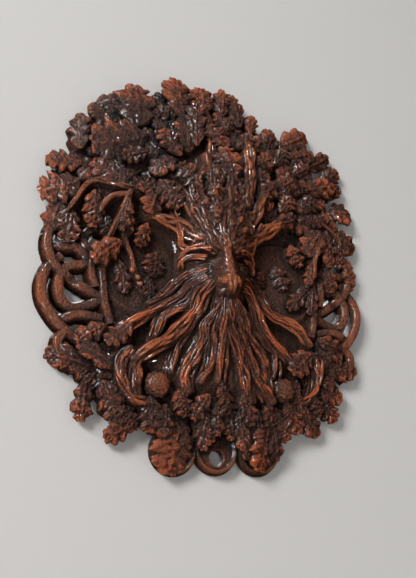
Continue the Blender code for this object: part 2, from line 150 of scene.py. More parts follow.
def ring_faces(rings: int, turns: int, closed: bool) -> Array:
    """The faces between rings of vertices.

    Args: rings, turns, how many rings, and vertices in each; closed, whether the last ring joins the first.
    Returns: rows of four vertex numbers.
    """
    here = np.arange(rings * turns).reshape(rings, turns)
    there = np.roll(here, -1, axis=0)
    count = rings if closed else rings - 1
    corners = [here, np.roll(here, -1, axis=1), np.roll(there, -1, axis=1), there]
    return np.stack([c[:count] for c in corners], axis=-1).reshape(-1, 4)


def path_through(points: list[Point], step: float) -> Line:
    """A smooth path through plan points.

    Args: points, the places that it passes; step, the distance between the places returned.
    Returns: places along it, and the share of its length run at each.
    """
    knots = [np.array(p, float) for p in points]
    knots = [2 * knots[0] - knots[1], *knots, 2 * knots[-1] - knots[-2]]
    places = []
    for a, b, c, d in zip(knots, knots[1:], knots[2:], knots[3:]):
        for t in np.arange(0, 1, step / max(np.linalg.norm(c - b), step)):
            bend = (2 * a - 5 * b + 4 * c - d) * t**2 + (3 * b - a - 3 * c + d) * t**3
            places.append(0.5 * (2 * b + (c - a) * t + bend))
    places = np.array([*places, knots[-2]])
    run = np.concatenate([[0], np.cumsum(np.linalg.norm(np.diff(places, axis=0), axis=1))])
    return places, run / run[-1]


def facing(side: int, points: list[Point]) -> list[Point]:
    """Points drawn for the left (-1), or their mirror image for the right (1)."""
    return [(-side * px, pz) for px, pz in points]


@dataclass(frozen=True)
class Surface:
    """The carving's general surface: how far it stands off the wall, in millimetres."""

    edge: float = 9.0
    crown: float = 13.0
    trunk: float = 14.0
    beard: float = 5.0
    rim_fall: float = 4.0
    rim_width: float = 0.25
    rim_middle: float = 10.0
    rim_reach: Point = (104.0, 121.0)
    disc_floor: float = 5.0
    disc_seat: float = 1.8
    disc_radius: float = 24.5
    disc_x: float = 43.0
    disc_z: float = 1.0

    def swell(self, x: Array, z: Array) -> Array:
        """Its height. Args: x, z, places on the plan. Returns: millimetres off the wall."""
        height = self.edge + self.crown * bump(x, z, 0, 60, 62, 44)
        height = height + self.trunk * bump(x, z, 0, -6, 24, 40) + self.beard * bump(x, z, 0, -55, 60, 38)
        outwards = np.hypot(x / self.rim_reach[0], (z - self.rim_middle) / self.rim_reach[1])
        height = height - self.rim_fall * np.clip((outwards - 1 + self.rim_width) / self.rim_width, 0, 1) ** 2
        for side in (-1, 1):
            away = np.hypot(x - side * self.disc_x, z - self.disc_z) / self.disc_radius
            height = height - (height - self.disc_floor - self.disc_seat) * np.exp(-(away**4))
        return height

    def slope(self, x: float, z: float, step: float = 2.0) -> Vector:
        """The outward normal as x, z and h. Args: x, z, the place; step, how far round it is felt."""
        dx = (self.swell(x + step, z) - self.swell(x - step, z)) / (2 * step)
        dz = (self.swell(x, z + step) - self.swell(x, z - step)) / (2 * step)
        return Vector((-float(dx), -float(dz), 1.0)).normalized()


@dataclass
class Workshop:
    """Turns plan drawings into objects and fixes them to the frame; unit is a plan millimetre in metres."""

    unit: float
    made: list[Object] = field(default_factory=list)

    def place(self, plan: Array) -> Array:
        """Plan rows of x, z, h as world rows of x, y, z in metres."""
        return np.stack([plan[:, 0], -plan[:, 2], plan[:, 1]], axis=-1) * self.unit

    def piece(self, name: str, plan: Array, faces: list) -> Object:
        """A new object with its faces turned outwards.

        Args: name, the piece's name; plan, rows of x, z, h; faces, rows of vertex numbers.
        Returns: the linked object.
        """
        mesh = bpy.data.meshes.new(name)
        mesh.from_pydata(self.place(plan), [], faces)
        mesh.validate()
        self.face_outwards(mesh)
        return self.link(name, mesh)

    @staticmethod
    def link(name: str, data: bpy.types.ID | None) -> Object:
        """A new object in the scene with this data."""
        thing = bpy.data.objects.new(name, data)
        bpy.context.scene.collection.objects.link(thing)
        return thing

    @staticmethod
    def face_outwards(mesh: bpy.types.Mesh) -> None:
        """Turns the faces of each closed shell outwards and shades them smooth."""
        shell = bmesh.new()
        shell.from_mesh(mesh)
        bmesh.ops.recalc_face_normals(shell, faces=shell.faces)
        shell.to_mesh(mesh)
        shell.free()
        mesh.shade_smooth()

    @staticmethod
    def bake(thing: Object) -> Object:
        """Replaces an object's mesh by its evaluated one and drops its modifiers."""
        graph = bpy.context.evaluated_depsgraph_get()
        result = bpy.data.meshes.new_from_object(
            thing.evaluated_get(graph), preserve_all_data_layers=True, depsgraph=graph
        )
        thing.modifiers.clear()
        thing.data = result
        thing.data.name = thing.name
        return thing

    def finish_piece(self, thing: Object, material: Material) -> Object:
        """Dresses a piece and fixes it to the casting's body."""
        thing.data.materials.clear()
        thing.data.materials.append(material)
        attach(thing, "root")
        self.made.append(thing)
        LOG.info("%s: %d faces", thing.name, len(thing.data.polygons))
        return thing

    def cut(self, target: Object, helpers: Cuts) -> Object:
        """Cuts a closed piece with closed helpers, which are then removed.

        Args: target, the piece; helpers, pairs of a helper and DIFFERENCE or INTERSECT.
        Returns: the piece with its cuts made.
        """
        for helper, operation in helpers:
            boolean = target.modifiers.new(helper.name, "BOOLEAN")
            boolean.operation = operation
            boolean.solver = "MANIFOLD"
            boolean.object = helper
        self.bake(target)
        for helper, _ in helpers:
            bpy.data.objects.remove(helper)
        target.data.shade_smooth()
        target.data.set_sharp_from_angle(angle=SHARP_ANGLE)
        return target

    def prism(self, name: str, outline: list[Point], near: float, far: float) -> Object:
        """A closed upright prism on the wall plane.

        Args: name, the helper's name; outline, points round its section; near, far, where it starts and ends.
        Returns: the helper object.
        """
        count = len(outline)
        plan = [(px, pz, height) for height in (near, far) for px, pz in outline]
        faces = [tuple(range(count)), tuple(range(count, 2 * count)), *ring_faces(2, count, False).tolist()]
        return self.piece(name, np.array(plan, float), faces)


@dataclass
class Field:
    """A rectangle of the plan on which relief is built up, like clay laid on a board."""

    low: Point
    high: Point
    step: float
    floor: float = -4.0
    x: Array = field(init=False)
    z: Array = field(init=False)
    height: Array = field(init=False)

    def __post_init__(self) -> None:
        """Sets out the grid."""
        axes = [np.arange(low, high + self.step / 2, self.step) for low, high in zip(self.low, self.high)]
        self.x, self.z = np.meshgrid(*axes)
        self.height = np.full(self.x.shape, self.floor)

    def window(self, low: Array, high: Array, margin: float) -> tuple[slice, slice]:
        """The part of the grid that holds a box of the plan, with a margin."""
        columns = np.searchsorted(self.x[0], (low[0] - margin, high[0] + margin))
        rows = np.searchsorted(self.z[:, 0], (low[1] - margin, high[1] + margin))
        return slice(*rows), slice(*columns)

    def lay(self, height: Array, spot: tuple[slice, slice] = (slice(None), slice(None))) -> None:
        """Raises the clay to a height wherever that is higher."""
        self.height[spot] = np.maximum(self.height[spot], height)

    def lay_strand(self, surface: Surface, strand: Row, slim: float, sink: float) -> None:
        """The rounded seat under a root, branch or lock.

        Args: surface, the general surface; strand, its widths, lift and points; slim, the seat's share of its
            width; sink, how far the seat's top lies below the strand's.
        """
        root, end, lift, *points = strand
        places, shares = path_through(points, self.step)
        spot = self.window(places.min(0), places.max(0), max(root, end))
        x, z = self.x[spot], self.z[spot]
        square = (x[..., None] - places[:, 0]) ** 2 + (z[..., None] - places[:, 1]) ** 2
        away, share = np.sqrt(square.min(axis=-1)), shares[square.argmin(axis=-1)]
        half = (root + (end - root) * share) / 2 * slim
        across = np.clip(away / half, 0, 1)
        top = surface.swell(x, z) + lift - sink - half * 0.55 * (1 - np.sqrt(1 - across**2 * 0.96))
        self.lay(top - np.maximum(away - half, 0) * WALL_SLOPE, spot)

    def lay_leaf(self, surface: Surface, leaf: Row, slim: float, sink: float) -> None:
        """The seat under a leaf: the same leaf, narrower and lower.

        Args: surface, the general surface; leaf, its stem, tip, width and lift; slim, the seat's share of its
            width; sink, how far the seat lies below it.
        """
        stem, tip, width, lift = np.array(leaf[:2]), np.array(leaf[2:4]), leaf[4], leaf[5]
        length = math.hypot(*(tip - stem))
        ahead = (tip - stem) / length
        spot = self.window(np.minimum(stem, tip), np.maximum(stem, tip), width)
        x, z = self.x[spot], self.z[spot]
        along = (x - stem[0]) * ahead[0] + (z - stem[1]) * ahead[1]
        across = np.abs((z - stem[1]) * ahead[0] - (x - stem[0]) * ahead[1])
        share = (along - 0.35 * across) / length
        inside = np.clip(share, 0, 1)
        half = width / 2 * slim * np.maximum(np.sin(np.pi * inside**0.85), 0) ** 0.5
        half = np.maximum(half * (1 - 0.18 * (1 + np.cos(6 * np.pi * (inside - 0.04)))), 0.6)
        past = np.maximum(np.maximum(share - slim, 0.05 - share), 0) * length
        outside = np.maximum(across - half, 0) * 0.75 + past
        seat = (float(surface.swell(*(stem + tip) / 2)) + surface.swell(x, z)) / 2 + lift - sink
        self.lay(seat - outside * WALL_SLOPE, spot)

    def slab(self, shop: Workshop, name: str, back: float) -> Object:
        """A closed slab whose front is the field.

        Args: shop, makes the object; name, the piece's name; back, its flat back's height off the wall.
        Returns: the object.
        """
        faces, rim = sheet_faces(*self.x.shape)
        front = np.stack([self.x, self.z, self.height], axis=-1).reshape(-1, 3)
        behind = front[rim] * (1, 1, 0) + (0, 0, back)
        foot = np.arange(len(rim)) + len(front)
        sides = np.stack([np.roll(rim, -1), rim, foot, np.roll(foot, -1)], axis=-1)
        rows = [*faces.tolist(), *sides.tolist(), foot[::-1].tolist()]
        return shop.piece(name, np.concatenate([front, behind]), rows)


# Leaves: stem end x, z, tip x, z, width and lift above the general surface
CROWN_LEAVES = (
    (-16, 98, -18, 130, 21, 3), (-31, 104, -31, 120, 9, -1), (-46, 88, -46, 120, 25, 2),
    (-51, 99, -68, 108, 14, 1), (-57, 84, -72, 103, 17, 1), (-80, 69, -80, 94, 13, 1),
    (-40, 82, -74, 72, 27, 2), (-42, 69, -57, 64, 10, 4), (-78, 61, -98, 62, 16, 1),
    (-79, 49, -101, 39, 19, 1), (-51, 46, -73, 61, 14, 1), (-26, 68, -41, 56, 13, 3),
    (-22, 69, -33, 86, 13, 3), (-12, 47, -26, 62, 13, 3), (-37, 51, -25, 35, 15, 4),
    (-36, 47, -41, 31, 13, 3), (-50, 46, -36, 48, 9, 3), (-12, 78, -8, 113, 13, 3),
    (-18, 106, -34, 99, 12, 1), (-16, 74, -18, 99, 16, 1), (-58, 88, -70, 78, 10, 0),
    (0, 110, -1, 129, 18, 1), (10, 107, 14, 131, 11, 2), (23, 103, 21, 130, 15, 0),
    (30, 99, 35, 115, 9, 0), (40, 87, 48, 105, 13, 0), (9, 80, -2, 96, 14, 3),
    (8, 57, 4, 79, 17, 3), (53, 97, 76, 112, 16, 1), (58, 87, 78, 96, 12, 2),
    (70, 83, 93, 98, 12, 1), (86, 75, 99, 88, 12, 0), (84, 65, 99, 76, 10, 0),
    (88, 57, 105, 58, 17, 0), (87, 40, 105, 32, 17, 0), (66, 64, 92, 73, 13, 2),
    (30, 74, 42, 82, 11, 1), (44, 78, 56, 90, 11, 1), (30, 52, 40, 62, 12, 2),
    (46, 62, 58, 72, 12, 1), (44, 44, 54, 56, 11, 1), (60, 50, 74, 58, 12, 1),
    (17, 84, 30, 96, 10, 1), (26, 63, 36, 72, 10, 0), (58, 74, 72, 84, 11, 1),
    (72, 46, 84, 52, 9, 0), (40, 36, 56, 42, 10, 2), (10, 92, 16, 108, 9, 0),
)
SIDE_LEAVES = (
    (-71, 44, -72, 21, 12, 1), (-89, 37, -94, 19, 13, 0), (-83, 32, -87, 12, 12, 0),
    (-56, 15, -72, 1, 13, 4), (-57, 6, -54, -14, 9, 1), (-53, 41, -57, 20, 8, 3),
    (-52, 33, -53, 18, 7, 2), (-65, 31, -64, 17, 9, -1),
    (75, 38, 62, 20, 15, 3), (66, 16, 61, -1, 7, 3), (80, 40, 80, 14, 11, 1),
    (90, 40, 90, 16, 10, 0), (96, 24, 97, 2, 10, 0), (78, 14, 79, -2, 10, 1),
    (64, 1, 47, -15, 9, 2), (66, 1, 62, -18, 8, 2), (66, 41, 78, 46, 9, 1),
    (-41, 27, -46, 13, 9, 3), (-35, 12, -37, -3, 14, 2), (-40, -2, -39, -16, 8, 1),
    (50, 25, 58, 12, 10, 3), (40, 12, 47, -3, 13, 1), (33, 8, 30, -4, 9, 1),
)
FOOT_LEAVES = (
    (-68, -57, -96, -49, 13, 0), (-65, -33, -81, -43, 11, 1), (-59, -57, -80, -44, 10, 2),
    (-74, -61, -77, -83, 11, 0), (-67, -62, -59, -84, 13, 1), (-49, -81, -65, -92, 11, 0),
    (-51, -31, -66, -43, 11, 2), (-42, -70, -43, -89, 13, 1), (-28, -67, -23, -81, 11, 2),
    (-10, -69, -20, -83, 10, 2), (-13, -77, -8, -94, 9, 1), (-26, -83, -32, -110, 25, 0.6),
    (-56, -74, -50, -88, 11, 0), (-80, -56, -70, -64, 10, 0), (-3, -62, 1, -80, 10, 1),
    (9, -69, 14, -86, 10, 2), (17, -77, 20, -90, 8, 1), (26, -82, 20, -109, 19, 1.5),
    (57, -43, 42, -55, 14, 3), (38, -71, 46, -89, 12, 1), (47, -75, 62, -89, 12, 0),
    (61, -64, 80, -67, 13, 0), (66, -70, 73, -82, 10, 0), (67, -52, 93, -50, 13, 0),
    (65, -33, 81, -39, 10, 1), (57, -65, 62, -79, 9, 1), (28, -72, 26, -88, 9, 0),
    (64, -58, 76, -60, 9, 0), (3, -76, 4, -93, 9, 0), (48, -58, 40, -74, 9, -1),
    (-15, -78, -14, -98, 9, 1), (7, -77, 9, -98, 9, 1), (13, -80, 14, -103, 10, 1),
    (30, -82, 32, -104, 11, 1), (-34, -74, -36, -92, 10, 1), (38, -78, 36, -94, 10, 0),
    (-5, -72, -6, -91, 8, 2),
)

# Strands: width at the root and at the end, lift, then the points that each runs through
BRANCHES = (
    (9, 5, 2, (-3, 10), (-13, 26), (-20, 40), (-27, 50)),
    (8, 5, 2, (-2, 14), (-10, 30), (-15, 42), (-18, 54)),
    (11, 6, 2, (-4, 11), (-16, 20), (-27, 28), (-40, 32)),
    (9, 7, 2, (0, 12), (-1, 32), (-4, 52), (-6, 72)),
    (9, 7, 2, (2, 12), (5, 34), (7, 52), (8, 66)),
    (9, 8, 2, (3, 12), (13, 34), (20, 52), (24, 78), (24, 94)),
    (8, 5, 2, (4, 11), (20, 32), (28, 46), (34, 60)),
    (11, 6, 2, (4, 10), (18, 20), (32, 30), (46, 38)),
    (6, 5, 0, (-2, 70), (0, 90), (0, 112)),
    (6, 4, 0, (22, 76), (32, 92), (44, 98)),
)
BEARD = (
    (6, 3, 2, (-12, -1), (-20, -3), (-26, -8), (-32, -14), (-40, -19)),
    (5, 4, 2, (-12, -5), (-19, -9), (-25, -15), (-33, -20), (-41, -24), (-49, -29), (-57, -35)),
    (5, 4, 1, (-12, -8), (-17, -14), (-20, -20), (-27, -23), (-34, -28), (-38, -37)),
    (6, 6, 3, (-10, -9), (-16, -17), (-19, -25), (-25, -32), (-32, -39), (-42, -45), (-51, -51)),
    (4, 3, 0, (-8, -11), (-13, -18), (-15, -26), (-20, -34), (-27, -45), (-30, -57)),
    (5, 7, 1, (-6, -15), (-6, -22), (-9, -28), (-13, -33), (-13, -40), (-18, -48), (-23, -57), (-22, -67)),
    (4, 4, 1, (-4, -17), (-5, -28), (-8, -37), (-8, -50), (-14, -62)),
    (4, 4, 2, (-1, -18), (-2, -28), (-4, -40), (-5, -52), (-5, -62)),
    (5, 4, 2, (1, -18), (5, -26), (8, -33), (7, -41)),
    (5, 9, 2, (0, -20), (1, -32), (5, -42), (9, -52), (12, -63), (14, -72)),
    (4, 7, 2, (6, -34), (12, -44), (17, -54), (21, -63), (29, -71)),
    (5, 5, 2, (4, -18), (10, -27), (14, -36), (20, -44), (24, -52), (25, -62), (27, -70)),
    (5, 4, 3, (9, -11), (15, -12), (20, -19), (24, -29), (30, -37), (36, -43), (43, -49)),
    (4, 3, 1, (14, -24), (18, -33), (25, -40), (32, -44), (32, -50), (31, -58)),
    (5, 4, 2, (12, -5), (22, -6), (28, -14), (36, -21), (45, -24), (53, -29), (59, -37)),
    (5, 3, 1, (11, -2), (24, -1), (30, -8), (34, -16), (42, -21)),
    (6, 7, 1, (-40, -44), (-48, -50), (-50, -59), (-49, -69)),
    (7, 5, 2, (-53, -46), (-58, -54), (-57, -63), (-52, -71), (-44, -74)),
    (6, 4, 1, (62, -46), (62, -56), (58, -66), (50, -72)),
)
TWIGS = (
    (2.6, 2.2, 2, (-50, 46), (-60, 47), (-70, 49), (-76, 46), (-81, 38), (-86, 30)),
    (2.4, 2.0, 2, (-52, 42), (-61, 41), (-66, 36), (-69, 30)),
    (3.4, 2.6, 2, (-52, 44), (-56, 32), (-60, 24), (-65, 12)),
    (2.8, 1.8, 2, (-56, 30), (-54, 18), (-50, 8), (-47, -5), (-43, -12)),
    (3.4, 2.4, 3, (72, 34), (68, 18), (66, 7), (61, 0)),
    (2.6, 2.2, 1, (70, 46), (80, 42), (88, 34), (90, 26)),
)
CHEEK_CURLS = (
    (3.4, 2.8, 3, (-9, 10), (-14, 12), (-20, 11), (-24, 7)),
    (3.0, 4.2, 3, (-12, 5), (-18, 7), (-22, 5), (-22, 1)),
    (3.2, 2.8, 1.8, (-29, 33), (-24, 24), (-23, 16), (-19, 12.5), (-16, 16), (-18, 23)),
)

# Knotwork on the left edge, which the right edge mirrors: where each band dips under another, as a
# share of its length, then its points
KNOT_BANDS = (
    (0.02, (-89, 26), (-94, 20), (-95.5, 10), (-92, 0), (-86, -6)),
    (0.10, (-88, 5), (-94, -1), (-97.6, -9), (-98, -17), (-95, -25), (-89, -33), (-82, -39), (-74, -44)),
    (
        0.80, (-66, 6), (-76, 1), (-84, -1), (-88.5, -7), (-89.5, -14), (-87.5, -20), (-82, -23.5),
        (-75, -22), (-66, -18),
    ),
    (0.25, (-86, -6), (-80, -10), (-73, -14), (-66, -17)),
    (0.10, (-91, -33), (-85, -29.5), (-78, -27.5), (-66, -29)),
    (0.05, (-96, 12), (-88, 10), (-80, 10), (-74, 4), (-68, -6)),
    (0.50, (-64, 22), (-71, 23), (-76, 17), (-74, 11), (-66, 9)),
    (0.90, (-84, -36), (-89, -42), (-87, -50), (-80, -56)),
)
POSTS = (
    (0.0, (-67, 4), (-66, -8), (-65, -20), (-62, -32)),
    (0.0, (-72, 3), (-72, -4), (-70, -12)),
)
FOOT_LOBES = ((-27.5, -97), (-3.5, -97), (21.5, -98))
ACORNS = ((-38, -64), (37, -65))
BERRIES = ((-47, -5), (-45.5, -8.5), (-50, -1))


@dataclass(frozen=True)
class Finish:
    """Paint over cast resin: dark in the hollows, brown on the body, copper rubbed on what stands proud."""

    name: str
    hollow: Row
    body: Row
    rubbed: Row
    rub: float
    roughness: float
    grain: float = 0.75
    coat: float = 0.9
    coat_grain: float = 0.09
    speckle: float = 1.50


class Finishes(Enum):
    """The casting's finishes, by the part of the carving that they cover."""

    FIELD = Finish(
        "dark_field", (0.024, 0.009, 0.005), (0.066, 0.023, 0.012), (0.15, 0.048, 0.022), 0.52, 0.46, coat=0.5
    )
    ROOT = Finish(
        "rubbed_root", (0.009, 0.003, 0.002), (0.058, 0.016, 0.008), (0.33, 0.084, 0.028), 0.62, 0.42,
        speckle=0.80,
    )
    BARK = Finish(
        "rubbed_bark", (0.011, 0.004, 0.002), (0.060, 0.018, 0.008), (0.30, 0.084, 0.028), 0.60, 0.44,
        coat=1.0, speckle=1.0,
    )
    LEAF = Finish(
        "brown_leaf", (0.007, 0.003, 0.002), (0.050, 0.016, 0.009), (0.27, 0.070, 0.028), 0.54, 0.46,
        grain=0.8, coat=0.55,
    )
    KNOT = Finish(
        "brown_knot", (0.012, 0.005, 0.003), (0.058, 0.020, 0.011), (0.19, 0.058, 0.025), 0.54, 0.42
    )


class Graph:
    """A node tree that is put together in short calls."""

    def __init__(self, tree: bpy.types.NodeTree) -> None:
        """Args: tree, the tree that the calls add to."""
        self.tree = tree

    def feed(self, socket: Socket, value: object) -> None:
        """Links an input to a socket, or sets it to a plain value."""
        if isinstance(value, Socket):
            self.tree.links.new(value, socket)
        else:
            socket.default_value = value

    def add(self, kind: str, settings: dict | None = None, **values: object) -> bpy.types.Node:
        """Adds a node.

        Args: kind, the node's type; settings, its own properties; values, a socket or plain value for each of
            its inputs, by name with _ for a space, or by number after an i.
        Returns: the node.
        """
        node = self.tree.nodes.new(kind)
        for key, value in (settings or {}).items():
            setattr(node, key, value)
        for key, value in values.items():
            self.feed(node.inputs[int(key[1:]) if key[1:].isdigit() else key.replace("_", " ")], value)
        return node

    def sum(self, operation: str, a: object, b: object = 0.0) -> Socket:
        """One sum on sockets or numbers."""
        return self.add("ShaderNodeMath", {"operation": operation}, i0=a, i1=b).outputs[0]

    def step(self, value: Socket, low: float, high: float) -> Socket:
        """A smooth step of a value between two limits."""
        settings = {"interpolation_type": "SMOOTHSTEP"}
        ramp = self.add("ShaderNodeMapRange", settings, Value=value, From_Min=low, From_Max=high)
        return ramp.outputs["Result"]

    def mix(self, share: Socket, under: object, over: object) -> Socket:
        """One colour laid over another by a share."""
        node = self.add("ShaderNodeMix", {"data_type": "RGBA"}, Factor=share)
        for socket, colour in zip((i for i in node.inputs if i.type == "RGBA"), (under, over)):
            self.feed(socket, colour if isinstance(colour, Socket) else (*colour, 1))
        return next(o for o in node.outputs if o.type == "RGBA")


class Dresser:
    """Builds one node material for each finish, from the object's coordinates, raised and tone."""

    METALLIC = 0.12
    SPECULAR = 0.22
    COAT_ROUGHNESS = 0.065
    COAT_IOR = 1.5
    RELIEF_DEPTH = 0.0022
    FLECK_PITCH = 850.0
    WARMER = (1.32, 1.18, 1.05)
    GREENISH = (0.010, 0.045, 0.018)

    def __init__(self) -> None:
        """Starts with no materials."""
        self.ready: dict[str, Material] = {}

    def material(self, kind: Finishes) -> Material:
        """The material of a finish, made the first time it is asked for."""
        finish = kind.value
        if finish.name not in self.ready:
            self.ready[finish.name] = self._make(finish)
        return self.ready[finish.name]

    def _make(self, finish: Finish) -> Material:
        """The node tree of one finish."""
        material = bpy.data.materials.new(finish.name)
        material.use_nodes = True
        tree = Graph(material.node_tree)
        shader = tree.tree.nodes["Principled BSDF"]
        place = tree.add("ShaderNodeTexCoord").outputs["Object"]

        def noise(scale: float, detail: float) -> Socket:
            """A noise pattern on the object's own coordinates."""
            node = tree.add("ShaderNodeTexNoise", Vector=place, Scale=scale, Detail=detail, Roughness=0.6)
            return node.outputs["Fac"]

        def stored(name: str) -> Socket:
            """A number stored on the mesh."""
            return tree.add("ShaderNodeAttribute", {"attribute_name": name}).outputs["Fac"]

        fleck = noise(self.FLECK_PITCH, 5)
        # raised carries how proud a point stands, and also painted shade on side faces and in a few patches.
        height = tree.sum("ADD", stored("raised"), 0.40 - finish.speckle / 2)
        for value, share in ((fleck, finish.speckle), (noise(90, 3), 0.25), (stored("tone"), 0.25)):
            height = tree.sum("ADD", height, tree.sum("MULTIPLY", value, share))
        warm = tuple(value * share for value, share in zip(finish.rubbed, self.WARMER))
        rubbed = tree.mix(tree.step(noise(45, 2), 0.48, 0.62), finish.rubbed, warm)
        edge = 1.46 - finish.rub * 0.45
        colour = tree.mix(tree.step(height, 0.62, 1.10), finish.hollow, finish.body)
        colour = tree.mix(tree.step(height, edge, edge + 0.44), colour, rubbed)
        green = tree.sum("MULTIPLY", tree.step(noise(420, 2), 0.66, 0.72), 0.7)
        low = tree.sum("SUBTRACT", 1.0, tree.step(height, 0.5, 0.9))
        colour = tree.mix(tree.sum("MULTIPLY", green, low), colour, self.GREENISH)
        dull = tree.sum("MULTIPLY", tree.sum("SUBTRACT", 1.0, tree.step(height, 0.6, 1.1)), 0.35)
        rough = tree.sum("ADD", tree.sum("MULTIPLY", fleck, 0.24), finish.roughness - 0.14)
        wet = tree.sum("ADD", tree.step(noise(70, 3), 0.40, 0.60), 0.12)
        lumps = tree.sum("ADD", fleck, tree.sum("MULTIPLY", noise(380, 3), 0.9))
        for label, value in (
            ("Base Color", colour), ("Roughness", tree.sum("ADD", rough, dull)), ("Metallic", self.METALLIC),
            ("Specular IOR Level", self.SPECULAR), ("Coat Weight", tree.sum("MULTIPLY", wet, finish.coat)),
            ("Coat Roughness", self.COAT_ROUGHNESS), ("Coat IOR", self.COAT_IOR),
        ):
            tree.feed(shader.inputs[label], value)
        for label, strength in (("Normal", finish.grain), ("Coat Normal", finish.coat_grain)):
            relief = tree.add("ShaderNodeBump", Strength=strength, Distance=self.RELIEF_DEPTH, Height=lumps)
            tree.feed(shader.inputs[label], relief.outputs["Normal"])
        return material


class NodeTree(Graph):
    """A Geometry Nodes tree with named inputs."""

    def __init__(self, name: str, inputs: dict[str, str]) -> None:
        """Args: name, the tree's name; inputs, the kind of each named input, such as Float."""
        super().__init__(bpy.data.node_groups.new(name, "GeometryNodeTree"))
        for label, kind in {"Geometry": "Geometry", **inputs}.items():
            self.tree.interface.new_socket(label, in_out="INPUT", socket_type="NodeSocket" + kind)
        self.tree.interface.new_socket("Geometry", in_out="OUTPUT", socket_type="NodeSocketGeometry")
        self.given = self.add("NodeGroupInput").outputs

    def end(self, geometry: Socket) -> "NodeTree":
        """Closes the tree with Realize Instances and Set Material."""
        real = self.add("GeometryNodeRealizeInstances", Geometry=geometry).outputs["Geometry"]
        dressed = self.add("GeometryNodeSetMaterial", Geometry=real, Material=self.given["Material"])
        self.add("NodeGroupOutput", Geometry=dressed.outputs["Geometry"])
        return self

    def run(self, shop: Workshop, host: Object, values: dict[str, object]) -> Object:
        """Runs the tree on an object and keeps the result as a plain mesh.

        Args: shop, bakes the result; host, whose mesh the tree takes; values, what each input is set to.
        Returns: the host, with its new mesh.
        """
        modifier = host.modifiers.new(self.tree.name, "NODES")
        modifier.node_group = self.tree
        for item in self.tree.interface.items_tree:
            if item.in_out == "INPUT" and item.name in values:
                modifier[item.identifier] = values[item.name]
        return shop.bake(host)


